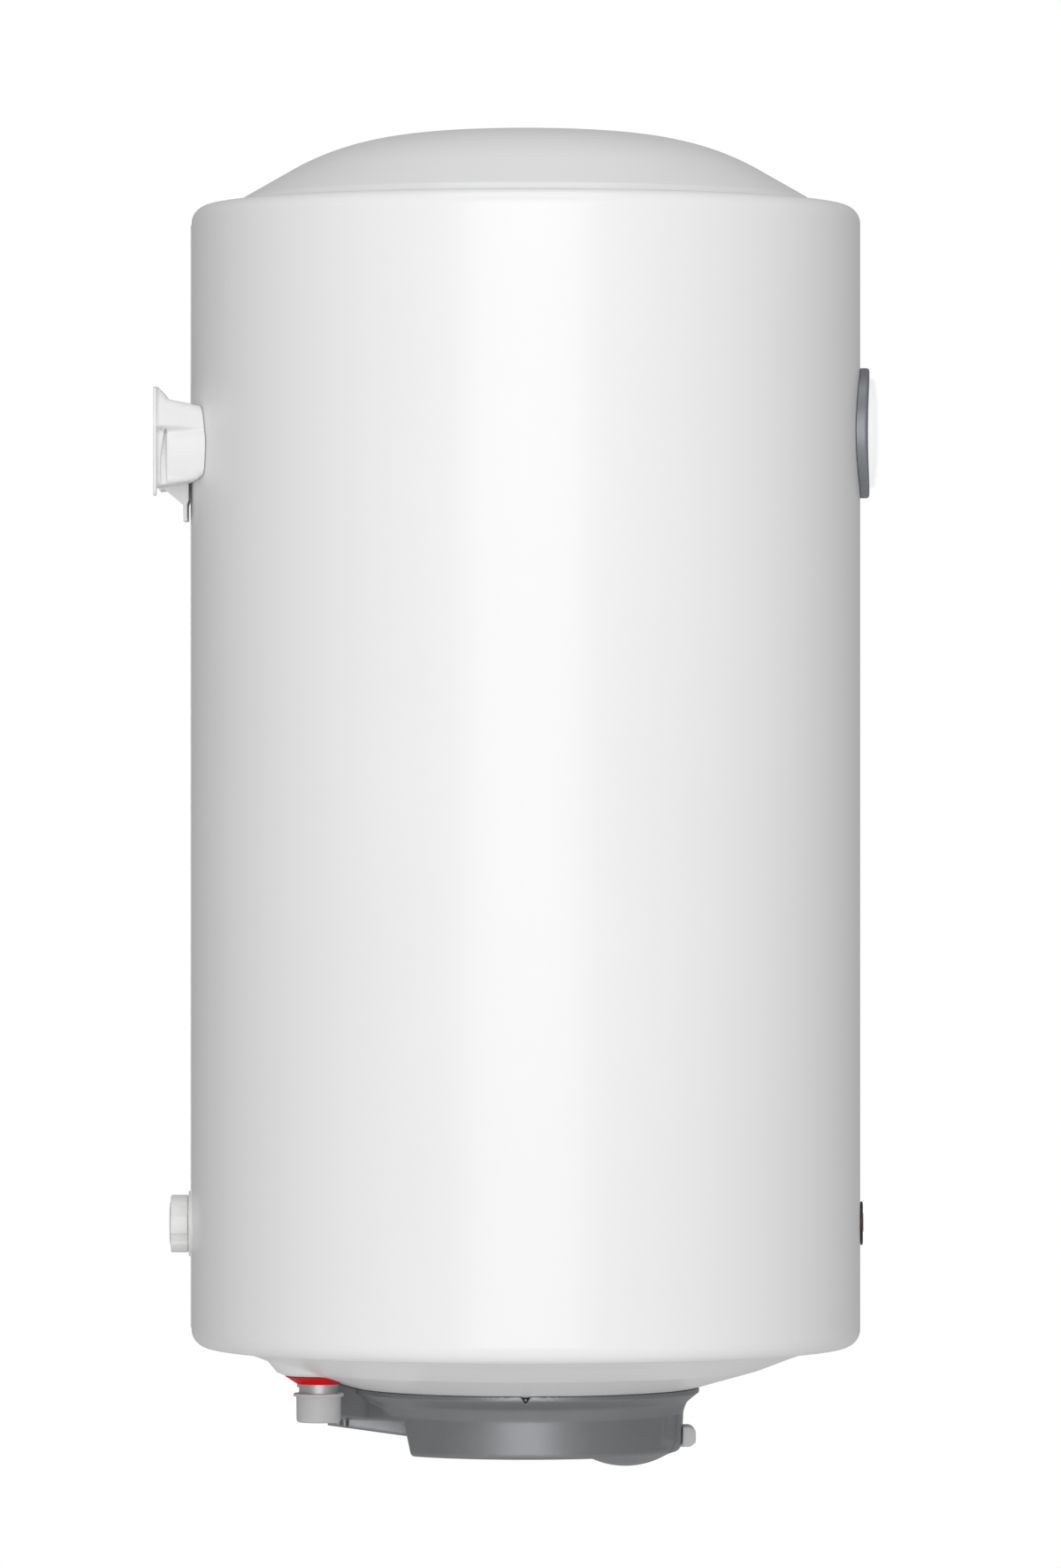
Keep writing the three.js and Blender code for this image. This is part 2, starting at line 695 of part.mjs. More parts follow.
const sensor = join(
  rod(3, -560, -470, 12).translate(0, POCKET_Y, 0),
  bent(1, [
    [0, POCKET_Y, -558], [0, POCKET_Y, -600], [0, POCKET_Y, -632], [0, POCKET_Y - 8, -640],
    [0, -20, -640], [0, -40, -652], [0, -47.5, -655],
  ], 24, 6),
);
part(tank, 'thermostat_sensor', 'copper', sensor);

frontPart('thermostat_shaft', 'steel', KNOB_HEIGHT, rod(3, 84.5, 103.6, SMALL));

// Bar grip: a D-shaped section, rounded towards the front.
function knobGeometry() {
  const gripBack = 104.2;
  const gripFront = 112.8;
  const half = 6.7;
  const nose = 5.3;
  const section = new THREE.Shape();
  section.moveTo(-half, gripBack);
  section.lineTo(half, gripBack);
  section.lineTo(half, gripFront - nose);
  section.absarc(half - nose, gripFront - nose, nose, 0, Math.PI / 2);
  section.absarc(nose - half, gripFront - nose, nose, Math.PI / 2, Math.PI);
  const settings = { depth: GRIP_LENGTH, bevelEnabled: false, curveSegments: 5 };
  const grip = new THREE.ExtrudeGeometry(section, settings).translate(0, 0, -GRIP_LENGTH / 2);
  const lay = new THREE.Matrix4().makeBasis(
    new THREE.Vector3(0, 1, 0),
    new THREE.Vector3(0, 0, 1),
    new THREE.Vector3(1, 0, 0),
  );
  grip.applyMatrix4(lay);
  const base = rod(KNOB_BASE_RADIUS, KNOB_FLOOR + 0.6, gripBack + 0.4, MIDDLE);
  return cut(join(base, grip), rod(3.4, 90, gripBack, SMALL));
}
frontPart('thermostat_knob', 'paleGrey', KNOB_HEIGHT, knobGeometry());
const lens = turned([[0, 92], [2.8, 92], [2.8, 101.6], [2, 102.6], [0, 102.9]], 16);
frontPart('indicator_lens', 'lampRed', LAMP_HEIGHT, lens.translate(LAMP_X, 0, 0));

const BUTTON_X = 34;
const BUTTON_Y = -30;
const cutout = cut(
  block([24, -42, -652], [44, -18, -636]),
  rod(3.1, -660, -646, 16).translate(BUTTON_X, BUTTON_Y, 0),
);
part(tank, 'safety_cutout', 'white', cutout);
part(tank, 'cutout_reset_button', 'red', rod(2.8, -655, -649, 16)).position.set(BUTTON_X, BUTTON_Y, 0);

const wireWays = [-10, 0, 10].map((x) => rod(2.4, 40, 90, 12).rotateX(-Math.PI / 2).translate(x, 0, -638));
part(tank, 'terminal_block', 'white', cut(block([-16, 54, -644], [16, 68, -632]), ...wireWays));

// ---------------------------------------------------------------- thermometer and badge

// A band around the tank, drawn in a front piece's own frame, where the tank's axis is Y.
function band(radius) {
  return new THREE.CylinderGeometry(radius, radius, 120, 120);
}

function bezelGeometry() {
  const ring = turned([
    [LENS_RADIUS + GAP, 205],
    [BEZEL_RADIUS, 205],
    [BEZEL_RADIUS, 235],
    [LENS_RADIUS + GAP, 235],
    [LENS_RADIUS + GAP, 205],
  ], ROUND);
  return cut(overlapOf(ring, band(SHELL_RADIUS + BEZEL_PROUD)), band(SHELL_RADIUS + 0.4));
}

const dialBack = SHELL_RADIUS + 0.5;
const probe = rod(3, TANK_RADIUS + 1, dialBack - 0.6, 16);
const dial = cut(rod(LENS_RADIUS - 1.8, dialBack, dialBack + 1.2, MIDDLE), rod(1.3, 200, 240, 12));
const thermometerLens = turned([
  [LENS_RADIUS - 1.4, dialBack + 0.8], [LENS_RADIUS, dialBack + 0.8], [LENS_RADIUS, 230.8],
  [35.8, 232.4], [22, 233.8], [0, 234.3], [0, 232.8], [22, 232.3], [LENS_RADIUS - 1.4, 230.4],
  [LENS_RADIUS - 1.4, dialBack + 0.8],
], MIDDLE);

function needleGeometry() {
  const low = dialBack + 2.4;
  const blade = raised([[-1.5, 0], [-1.3, -9], [1.3, -9], [1.5, 0], [0.5, 28], [-0.5, 28]], low, low + 0.8);
  const hub = rod(3.4, low - 0.4, low + 1.6, 20);
  const pin = rod(1, dialBack + 0.2, low, 12);
  return join(blade, hub, pin).rotateZ(THREE.MathUtils.degToRad(125));
}
frontPart('thermometer_bezel', 'bezelGrey', DIAL_HEIGHT, bezelGeometry());
frontPart('thermometer_dial', 'white', DIAL_HEIGHT, dial);
frontPart('thermometer_needle', 'red', DIAL_HEIGHT, needleGeometry());
frontPart('thermometer_lens', 'clear', DIAL_HEIGHT, thermometerLens);
frontPart('thermometer_probe', 'copper', DIAL_HEIGHT, probe);

const badgeBase = SHELL_RADIUS + 0.4;
const ring = cut(sleeve(12.4, 14.5, 215, 224.4, MIDDLE), band(badgeBase));
frontPart('badge_ring', 'black', BADGE_HEIGHT, ring);
const disc = join(
  cut(turned([[0, 215], [12.1, 215], [12.1, 223.9], [9, 224.6], [0, 224.9]], MIDDLE), band(badgeBase)),
  rod(BADGE_PIN, 212, 224, 12),
);
frontPart('badge_disc', 'red', BADGE_HEIGHT, disc);

// ---------------------------------------------------------------- wall bracket

const WINDOW_X = [24, 64];
const WINDOW_Z = [-16, 14];

// The pan is wider below its step than above it.
function panSolid(outline, halfWidth, topHalfWidth, step) {
  const wide = overlapOf(spread(outline, halfWidth), block([-90, -60, -60], [90, 10, step]));
  return join(wide, spread(outline, topHalfWidth));
}

function bracketGeometry() {
  const outline = [
    [0, 36.3], [-3, 36.2], [-9.5, 28.7], [-24.8, 25.7], [-30, 24.6], [-33, 22.6], [-45, 19],
    [-45, -20], [-31, -22], [-27.9, -24.1], [-22.5, -25.4], [-10.8, -27.1], [0, -29],
  ];
  const inner = [
    [-PLATE_SHEET, 28], [-4.5, 28], [-10.5, 26.4], [-25, 23.6], [-46, 17], [-46, -18], [-27, -22],
    [-22, -23.4], [-10.7, -25], [-PLATE_SHEET, -26.4],
  ];
  const pan = cut(
    panSolid(outline, PAN_HALF_WIDTH, PAN_TOP_HALF_WIDTH, PAN_STEP),
    panSolid(inner, PAN_HALF_WIDTH - PLATE_SHEET, PAN_TOP_HALF_WIDTH - PLATE_SHEET, PAN_STEP - PLATE_SHEET),
  );
  const plate = block(
    [-PLATE_HALF_WIDTH, -PLATE_SHEET, PLATE_BOTTOM],
    [PLATE_HALF_WIDTH, 0, PLATE_TOP],
  );
  const archStart = PLATE_EAR - PLATE_HALF_WIDTH;
  const arch = block([archStart, -PLATE_SHEET, -60], [PLATE_HALF_WIDTH + 1, 1, PLATE_ARCH]);
  const shell = rod(SHELL_RADIUS + 0.4, -60, 60, 144).translate(0, -WALL_TO_AXIS, 0);
  const windows = [-1, 1].map((side) => {
    const edges = WINDOW_X.map((x) => x * side).sort((a, b) => a - b);
    return block([edges[0], -6, WINDOW_Z[0]], [edges[1], 1, WINDOW_Z[1]]);
  });
  const slotHalf = STRAP_HALF_WIDTH + 0.5;
  const strapSlot = block([-slotHalf, -28.5, -40], [slotHalf, 1, -20]);
  return cut(join(pan, cut(plate, arch)), shell, ...windows, strapSlot);
}

// A strap up the tank's back, bolted to it, with a folded foot between two triangular webs.
function baseGeometry() {
  const strap = [
    [-17.7, 19], [-20.2, 19], [-20.2, -53.5], [-17.7, -53.5], [-17.7, -43.2], [-0.9, -29.2],
    [-0.9, -26.6], [-2.3, -26.6], [-17.7, -39.6],
  ];
  const web = [[-1.4, -29.5], [-17.8, -43], [-20.2, -43], [-21.3, -39.6], [-21.3, -24.5], [-1.4, -24.5]];
  const webs = [-1, 1].map((side) => spread(web, 1).translate(side * (STRAP_HALF_WIDTH - 1), 0, 0));
  const holes = BOLT_HEIGHTS.map((height) => {
    return rod(BRACKET_BOLT + 0.5, -30, -12, 16).rotateX(-Math.PI / 2).translate(0, 0, height);
  });
  return cut(join(spread(strap, STRAP_HALF_WIDTH), ...webs), ...holes);
}
part(heater, 'wall_bracket', 'white', bracketGeometry());
part(heater, 'bracket_base', 'white', baseGeometry()).position.z = TANK_RISE;
BOLT_HEIGHTS.forEach((height, i) => {
  const headBack = WALL_TO_AXIS - 17.7 + GAP;
  const shank = rod(BRACKET_BOLT, TANK_RADIUS + 1.4, headBack + 1, 16);
  const bolt = join(rod(7.3, headBack, headBack + 5, 6), shank);
  backPart(`bracket_bolt_${i + 1}`, 'zinc', height, bolt);
});

// ---------------------------------------------------------------- lower wall spacer

const socketFace = WALL_TO_AXIS - 20.9;
const knobBack = socketFace + GAP;
const knobFace = WALL_TO_AXIS - 9;
const padSeat = knobFace - 2.2;

const socket = cut(
  turned([
    [6.4, TANK_RADIUS + 3], [9, TANK_RADIUS + 3], [9, 215], [21.75, 215], [21.75, socketFace],
    [6.4, socketFace], [6.4, TANK_RADIUS + 3],
  ], MIDDLE),
  cut(sleeve(9.2, 30, 205, 240, MIDDLE), cut(sleeve(8, 40, 200, 250, MIDDLE), band(SHELL_RADIUS + 0.4))),
);
backPart('spacer_socket', 'white', SPACER_HEIGHT, socket);

// Knob: six ribs with grooves between them, and a threaded stem that runs in the socket.
function spacerKnobGeometry() {
  const body = rod(SPACER_RADIUS, knobBack, knobFace, 48);
  const grooves = Array.from({ length: 6 }, (_, i) => {
    const low = [SPACER_RADIUS - 2.6, -4.2, knobBack - 1];
    const high = [SPACER_RADIUS + 3, 4.2, knobFace + 1];
    return block(low, high).rotateZ((TAU * (i + 0.5)) / 6);
  });
  const stem = rod(6, TANK_RADIUS + 6, knobBack + 1, 20);
  const recess = rod(16, padSeat, knobFace + 1, MIDDLE);
  const seat = rod(6.4, padSeat - 3.2, knobFace + 1, 20);
  return cut(join(body, stem), ...grooves, recess, seat);
}
backPart('spacer_knob', 'white', SPACER_HEIGHT, spacerKnobGeometry());
const pad = turned([
  [0, padSeat - 2.8], [6, padSeat - 2.8], [6, padSeat + GAP], [15.5, padSeat + GAP], [15.5, padSeat + 2.2],
  [13.5, padSeat + 3], [0, padSeat + 3],
], MIDDLE);
backPart('spacer_pad', 'white', SPACER_HEIGHT, pad);

export default heater;
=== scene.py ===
# Looks of a wall-hung tank water heater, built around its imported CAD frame.
# The origin is on the wall plate's back face, midway along its width. +Z is up and +Y points into the
# wall, so the front of the heater looks along -Y and the hot pipe is on the -X side.
# Shapes are worked out in millimetres and become metres when they are made into objects.

import json
import math

import bpy
import numpy as np
from mathutils import Matrix, Vector


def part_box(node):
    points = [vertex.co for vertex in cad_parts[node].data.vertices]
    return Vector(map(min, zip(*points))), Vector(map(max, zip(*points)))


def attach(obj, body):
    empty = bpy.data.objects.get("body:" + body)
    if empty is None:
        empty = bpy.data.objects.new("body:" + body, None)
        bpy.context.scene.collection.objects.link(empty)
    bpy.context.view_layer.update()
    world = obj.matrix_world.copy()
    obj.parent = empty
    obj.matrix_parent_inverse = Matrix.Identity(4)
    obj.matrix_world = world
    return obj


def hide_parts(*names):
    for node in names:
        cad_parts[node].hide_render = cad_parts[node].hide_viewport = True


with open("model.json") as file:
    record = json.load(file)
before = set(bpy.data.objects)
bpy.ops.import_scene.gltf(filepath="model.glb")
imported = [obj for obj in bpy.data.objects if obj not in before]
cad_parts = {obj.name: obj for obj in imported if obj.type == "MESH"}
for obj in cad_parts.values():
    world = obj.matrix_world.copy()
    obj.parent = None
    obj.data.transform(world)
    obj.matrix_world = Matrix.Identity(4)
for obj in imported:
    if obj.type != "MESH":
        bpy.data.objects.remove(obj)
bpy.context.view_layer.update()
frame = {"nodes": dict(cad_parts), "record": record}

MM = 0.001
TAU = 2 * math.pi
SMOOTH = 256
FINE = 128
SHARP = math.radians(34)


def corners(node):
    """Lowest and highest corner of a CAD node, in millimetres."""
    return [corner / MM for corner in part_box(node)]


def middle(node):
    low, high = corners(node)
    return (low + high) / 2


# The tank is drawn about its own axis. AXIS is where that axis, and the tank's zero height, stand.
LIP_BOTTOM = -603.7
shell_low, shell_high = corners("outer_shell")
SHELL_RADIUS = shell_high.x
AXIS = Vector((0, middle("outer_shell").y, shell_low.z - LIP_BOTTOM))


def from_axis(node):
    """Lowest and highest corner of a CAD node, seen from AXIS."""
    return [corner - AXIS for corner in corners(node)]


def half_width(node):
    return corners(node)[1].x


def front_of(node):
    """How far a node reaches forward of the axis."""
    return AXIS.y - corners(node)[0].y


def back_of(node):
    """How far a node reaches behind the axis."""
    return corners(node)[1].y - AXIS.y


LIP_TOP = shell_high.z - AXIS.z
LIP_RADIUS = half_width("top_dome_cover") + 0.6
DOME_APEX = from_axis("top_dome_cover")[1].z
COVER_LOW, COVER_HIGH = from_axis("bottom_cover")
KNOB = middle("thermostat_shaft") - AXIS
DIAL = middle("thermometer_dial") - AXIS
BADGE = middle("badge_ring") - AXIS
SPACER = middle("spacer_knob") - AXIS
LAMP = middle("indicator_lens") - AXIS
PIPES = {"hot": middle("hot_outlet_nipple") - AXIS, "cold": middle("cold_inlet_nipple") - AXIS}
PIPE_RADIUS = (corners("hot_outlet_nipple")[1].x - corners("hot_outlet_nipple")[0].x) / 2
PIPE_END = from_axis("hot_outlet_nipple")[0].z

# ---------------------------------------------------------------- shapes
# A shape is (points, faces): an array of places in millimetres and a list of corner numbers.


def arc(centre, radius, start, end, steps):
    """Points on an arc about (a, b), with its angles in degrees."""
    turns = np.radians(np.linspace(start, end, steps + 1))
    return [(centre[0] + radius * math.cos(t), centre[1] + radius * math.sin(t)) for t in turns]


def rounded(outline, steps=5):
    """A closed outline of (a, b) or (a, b, fillet) points, with arcs at the corners that have a fillet."""
    done = []
    for i, corner in enumerate(outline):
        place = Vector(corner[:2])
        if len(corner) == 2:
            done.append(tuple(place))
            continue
        before = (Vector(outline[i - 1][:2]) - place).normalized()
        after = (Vector(outline[(i + 1) % len(outline)][:2]) - place).normalized()
        half = before.angle(after) / 2
        centre = place + (before + after).normalized() * corner[2] / math.sin(half)
        start = place + before * corner[2] / math.tan(half) - centre
        end = place + after * corner[2] / math.tan(half) - centre
        total = start.angle_signed(end)
        for step in range(steps + 1):
            spoke = end if step == steps else Matrix.Rotation(-total * step / steps, 2) @ start
            done.append(tuple(centre + spoke))
    return done


def lathe(profile, segments=FINE):
    """A closed profile of (radius, height) points turned about +Z. It may begin and end on the axis."""
    points, faces, rings = [], [], []
    for radius, height in profile:
        if radius < 1e-6:
            rings.append([len(points)] * segments)
            points.append((0, 0, height))
        else:
            rings.append(range(len(points), len(points) + segments))
            turns = [TAU * i / segments for i in range(segments)]
            points.extend((radius * math.cos(t), radius * math.sin(t), height) for t in turns)
    on_axis = profile[0][0] < 1e-6 and profile[-1][0] < 1e-6
    pairs = list(zip(rings, rings[1:])) + ([] if on_axis else [(rings[-1], rings[0])])
    for low, high in pairs:
        for i in range(segments):
            j = (i + 1) % segments
            face = [low[i], low[j], high[j], high[i]]
            face = [corner for n, corner in enumerate(face) if corner != face[n - 1]]
            if len(face) > 2:
                faces.append(face)
    return np.array(points, float), faces


def prism(outline, low, high):
    """A closed outline of (x, y) points raised from one height to another."""
    count = len(outline)
    points = [(x, y, z) for z in (low, high) for x, y in outline]
    sides = [[i, (i + 1) % count, count + (i + 1) % count, count + i] for i in range(count)]
    ends = [list(range(count))[::-1], list(range(count, 2 * count))]
    return np.array(points, float), sides + ends


def rectangle(half_width, half_height, *fillet):
    """The outline of a rectangle about the origin, with a fillet on each corner if one is given."""
    signs = ((-1, -1), (1, -1), (1, 1), (-1, 1))
    return [(a * half_width, b * half_height, *fillet) for a, b in signs]


def sheet_grid(outer, inner):
    """A closed skin between two grids of points of one size, whose columns close in a ring."""
    rows, columns = outer.shape[:2]
    points = np.concatenate([outer.reshape(-1, 3), inner.reshape(-1, 3)])
    shift = rows * columns
    faces = []
    for side, offset in ((1, 0), (-1, shift)):
        for i in range(rows - 1):
            for j in range(columns):
                k = (j + 1) % columns
                a, b = offset + i * columns, offset + (i + 1) * columns
                faces.append([a + j, a + k, b + k, b + j][::side])
    top = shift - columns
    for j in range(columns):
        k = (j + 1) % columns
        faces.append([j, shift + j, shift + k, k])
        faces.append([top + j, top + k, shift + top + k, shift + top + j])
    return points, faces


def ring(radius, height, turns):
    """Points around the axis. The radius and the height may change with the turn."""
    flat = [radius * np.cos(turns), radius * np.sin(turns)]
    return np.stack([*flat, np.broadcast_to(height, np.shape(turns))], axis=-1)


def placed(shape, matrix):
    """A shape turned and moved by a matrix."""
    points = shape[0] @ np.array(matrix.to_3x3()).T + np.array(matrix.translation)
    return points, shape[1]


def moved(shape, x=0, y=0, z=0):
    return shape[0] + np.array([x, y, z], float), shape[1]


def together(*shapes):
    """Several closed shapes as one."""
    points, faces, shift = [], [], 0
    for shape in shapes:
        points.append(shape[0])
        faces.extend([corner + shift for corner in face] for face in shape[1])
        shift += len(shape[0])
    return np.concatenate(points), faces


def front(place):
    """Turns a piece drawn along +Z, away from the axis, to the front of the tank at a place."""
    return Matrix.Translation(AXIS + Vector((place.x, 0, place.z))) @ Matrix.Rotation(math.pi / 2, 4, "X")


def back(place):
    """Turns a piece drawn along +Z, away from the axis, to the back of the tank at a place."""
    return Matrix.Translation(AXIS + Vector((place.x, 0, place.z))) @ Matrix.Rotation(-math.pi / 2, 4, "X")


def link(item):
    """Puts an object in the scene."""
    bpy.context.scene.collection.objects.link(item)
    return item


def mesh_of(shape, name="scratch"):
    """A mesh of a shape, in metres."""
    mesh = bpy.data.meshes.new(name)
    mesh.from_pydata((shape[0] * MM).tolist(), [], [list(map(int, face)) for face in shape[1]])
    mesh.validate()
    return mesh


def scratch(shape):
    """A passing object that a modifier works on."""
    return link(bpy.data.objects.new("scratch", mesh_of(shape)))


def baked(item, *tools):
    """The shape that an object's modifier leaves. The object and its tools are then removed."""
    bpy.context.view_layer.update()
    mesh = bpy.data.meshes.new_from_object(item.evaluated_get(bpy.context.evaluated_depsgraph_get()))
    points = np.array([vertex.co for vertex in mesh.vertices], float).reshape(-1, 3) / MM
    faces = [list(polygon.vertices) for polygon in mesh.polygons]
    for spent in (item, *tools):
        bpy.data.objects.remove(spent)
    bpy.data.meshes.remove(mesh)
    return points, faces


def combined(shape, tool, operation="DIFFERENCE"):
    """An exact boolean of two closed shapes."""
    item, other = scratch(shape), scratch(tool)
    modifier = item.modifiers.new("cut", "BOOLEAN")
    modifier.object, modifier.operation, modifier.solver = other, operation, "EXACT"
    modifier.use_self = True
    return baked(item, other)


def bevelled(shape, width, segments=3):
    """A closed shape whose sharp edges are rounded off."""
    item = scratch(shape)
    modifier = item.modifiers.new("edges", "BEVEL")
    modifier.width, modifier.segments, modifier.limit_method = width * MM, segments, "ANGLE"
    modifier.angle_limit = math.radians(40)
    return baked(item)


# ---------------------------------------------------------------- solid fields
# A field gives the distance to a surface at arrays of places, negative inside.


def polygon_field(outline):
    """Distance to a closed outline, as a function of two arrays."""
    starts = np.array(outline, float)
    ends = np.roll(starts, -1, axis=0)

    def field(a, b):
        nearest = np.full(np.shape(a), np.inf)
        inside = np.zeros(np.shape(a), bool)
        for (x0, y0), (x1, y1) in zip(starts, ends):
            dx, dy = x1 - x0, y1 - y0
            along = np.clip(((a - x0) * dx + (b - y0) * dy) / (dx * dx + dy * dy), 0, 1)
            nearest = np.minimum(nearest, (a - x0 - along * dx) ** 2 + (b - y0 - along * dy) ** 2)
            if y0 != y1:
                crosses = (y0 > b) != (y1 > b)
                inside ^= crosses & (a < dx * (b - y0) / dy + x0)
        return np.where(inside, -1, 1) * np.sqrt(nearest)

    return field


def soft_min(a, b, blend):
    """The union of two fields, with a fillet of about this size where they meet."""
    share = np.clip(0.5 + 0.5 * (b - a) / blend, 0, 1)
    return b + (a - b) * share - blend * share * (1 - share)


def soft_max(a, b, blend):
    return -soft_min(-a, -b, blend)


def skin_of(field, low, high, step):
    """The closed surface of a field inside a box: one point in each grid cell that the surface crosses."""
    axes = [np.arange(low[i] - 2 * step, high[i] + 2 * step, step) for i in range(3)]
    grid = np.stack(np.meshgrid(*axes, indexing="ij"), axis=-1)
    values = field(grid[..., 0], grid[..., 1], grid[..., 2])
    inside = values < 0
    cells = tuple(size - 1 for size in inside.shape)
    offsets = [(i, j, k) for i in (0, 1) for j in (0, 1) for k in (0, 1)]

    def corner(array, offset):
        return array[tuple(slice(o, o + n) for o, n in zip(offset, cells))]

    total = sum(corner(inside, offset).astype(np.int8) for offset in offsets)
    active = (total > 0) & (total < 8)
    number = np.full(cells, -1)
    number[active] = np.arange(active.sum())
    sums = np.zeros((active.sum(), 3))
    counts = np.zeros(active.sum())
    for a in offsets:
        for b in offsets:
            if sum(b) - sum(a) != 1 or any(p > q for p, q in zip(a, b)):
                continue
            va, vb = corner(values, a)[active], corner(values, b)[active]
            crossing = (va < 0) != (vb < 0)
            share = np.where(crossing, va / np.where(va == vb, 1, va - vb), 0)
            place = np.array(a) + share[:, None] * (np.array(b) - np.array(a))
            sums += place * crossing[:, None]
            counts += crossing
    where = np.argwhere(active) + sums / counts[:, None]
    points = np.array([axis[0] for axis in axes]) + where * step
    faces = []
    for axis in range(3):
        u, v = (axis + 1) % 3, (axis + 2) % 3
        first = [slice(1, -1)] * 3
        first[axis] = slice(0, -1)
        second = list(first)
        second[axis] = slice(1, None)
        start, end = inside[tuple(first)], inside[tuple(second)]
        for rising in (False, True):
            edges = np.argwhere((start & ~end) if rising else (~start & end))
            edges[:, u] += 1
            edges[:, v] += 1
            quad = []
            for du, dv in ((-1, -1), (0, -1), (0, 0), (-1, 0)):
                cell = edges.copy()
                cell[:, u] += du
                cell[:, v] += dv
                quad.append(number[tuple(cell.T)])
            quads = np.stack(quad, axis=1)
            faces.append(quads if rising else quads[:, ::-1])
    for _ in range(2):
        points = settled(field, points, step)
    return points, np.concatenate(faces).tolist()


def settled(field, points, step):
    """Points moved onto the field's surface along its slope, by no more than half a step."""
    reach = 0.05
    value = field(*points.T)
    nudges = reach * np.eye(3)
    rises = [field(*(points + nudge).T) - field(*(points - nudge).T) for nudge in nudges]
    slope = np.stack(rises, axis=1) / (2 * reach)
    length = np.maximum((slope ** 2).sum(axis=1), 0.25)
    shift = -slope * (value / length)[:, None]
    return points + np.clip(shift, -step / 2, step / 2)


# ---------------------------------------------------------------- materials


class Finish:
    """A node material being put together around one shader."""

    def __init__(self, name, colour, roughness, metallic=0.0, **sockets):
        self.material = bpy.data.materials.new(name)
        self.material.use_nodes = True
        self.tree = self.material.node_tree
        self.shader = self.tree.nodes["Principled BSDF"]
        self.colour = (*colour, 1)
        values = {"Base Color": self.colour, "Roughness": roughness, "Metallic": metallic, **sockets}
        for socket, value in values.items():
            self.shader.inputs[socket].default_value = value
        self.bump_from = None

    def node(self, kind, **values):
        made = self.tree.nodes.new(kind)
        for socket, value in values.items():
            made.inputs[socket.replace("_", " ")].default_value = value
        return made

    def link(self, start, end):
        self.tree.links.new(start, end)

    def places(self, scale=(1, 1, 1)):
        """Places on the object, in metres, stretched by a scale."""
        coordinates = self.tree.nodes.new("ShaderNodeTexCoord")
        mapping = self.tree.nodes.new("ShaderNodeMapping")
        mapping.inputs["Scale"].default_value = scale
        self.link(coordinates.outputs["Object"], mapping.inputs["Vector"])
        return mapping.outputs["Vector"]

    def noise(self, size, detail=2.0, stretch=(1, 1, 1)):
        """Soft noise with features of this size in millimetres."""
        noise = self.node("ShaderNodeTexNoise", Scale=1 / (size * MM), Detail=detail)
        self.link(self.places(stretch), noise.inputs["Vector"])
        return noise.outputs["Fac"]

    def cells(self, size):
        voronoi = self.node("ShaderNodeTexVoronoi", Scale=1 / (size * MM))
        self.link(self.places(), voronoi.inputs["Vector"])
        return voronoi.outputs["Distance"]

    def tint(self, pattern, darker, lighter, low=0.3, high=0.7):
        """The base colour runs between two brightnesses of itself along a pattern."""
        ramp = self.tree.nodes.new("ShaderNodeValToRGB")
        for element, place, share in zip(ramp.color_ramp.elements, (low, high), (darker, lighter)):
            element.position = place
            element.color = (*[min(1, c * share) for c in self.colour[:3]], 1)
        self.link(pattern, ramp.inputs["Fac"])
        self.link(ramp.outputs["Color"], self.shader.inputs["Base Color"])
        return self

    def gloss(self, pattern, low, high):
        """The roughness runs between two values along a pattern."""
        spread = self.tree.nodes.new("ShaderNodeMapRange")
        spread.inputs["To Min"].default_value = low
        spread.inputs["To Max"].default_value = high
        self.link(pattern, spread.inputs["Value"])
        self.link(spread.outputs["Result"], self.shader.inputs["Roughness"])
        return self

    def bump(self, pattern, depth, strength=1.0):
        """Relief of this depth in millimetres, added on top of the last one."""
        bump = self.node("ShaderNodeBump", Strength=strength, Distance=depth * MM)
        self.link(pattern, bump.inputs["Height"])
        if self.bump_from:
            self.link(self.bump_from, bump.inputs["Normal"])
        self.bump_from = bump.outputs["Normal"]
        self.link(self.bump_from, self.shader.inputs["Normal"])
        return self


def enamel(name, colour, roughness=0.3):
    """Stoved gloss enamel on sheet steel: faint orange peel and a little unevenness in the gloss."""
    finish = Finish(name, colour, roughness, **{
        "Specular IOR Level": 0.3, "Coat Weight": 0.15, "Coat Roughness": 0.12,
    })
    finish.tint(finish.noise(180, 3), 0.985, 1.0)
    finish.gloss(finish.noise(9, 3), roughness - 0.04, roughness + 0.05)
    finish.bump(finish.noise(2.2, 2), 0.012, 0.5)
    return finish.material


def powder(name, colour):
    """Powder coat: a finer, rougher skin than the enamel."""
    roughness = 0.42
    finish = Finish(name, colour, roughness, **{"Specular IOR Level": 0.4})
    finish.tint(finish.noise(30, 3), 0.965, 1.0)
    finish.gloss(finish.noise(4, 2), roughness - 0.05, roughness + 0.07)
    finish.bump(finish.noise(0.7, 3), 0.03, 0.6)
    return finish.material


def moulded(name, colour, roughness=0.45, grain=0.35, depth=0.02, level=0.4, metallic=0.0):
    """Moulded plastic: a fine spark-eroded grain, with slow shifts in tone from the flow of the melt."""
    finish = Finish(name, colour, roughness, metallic, **{"Specular IOR Level": level})
    finish.tint(finish.noise(22, 3), 0.95, 1.02)
    finish.gloss(finish.noise(3, 3), roughness - 0.05, roughness + 0.06)
    finish.bump(finish.noise(grain, 4), depth, 0.7)
    finish.bump(finish.noise(14, 1), 0.02, 0.25)
    return finish.material


def metal(name, colour, roughness, size=0.5, stretch=(1, 1, 1), depth=0.01):
    """Bare or plated metal, with streaks or grain along a stretch."""
    finish = Finish(name, colour, roughness, 1.0)
    grain = finish.noise(size, 4, stretch)
    finish.tint(grain, 0.85, 1.04)
    finish.gloss(finish.noise(5, 3), roughness - 0.06, roughness + 0.1)
    finish.bump(grain, depth, 0.6)
    return finish.material


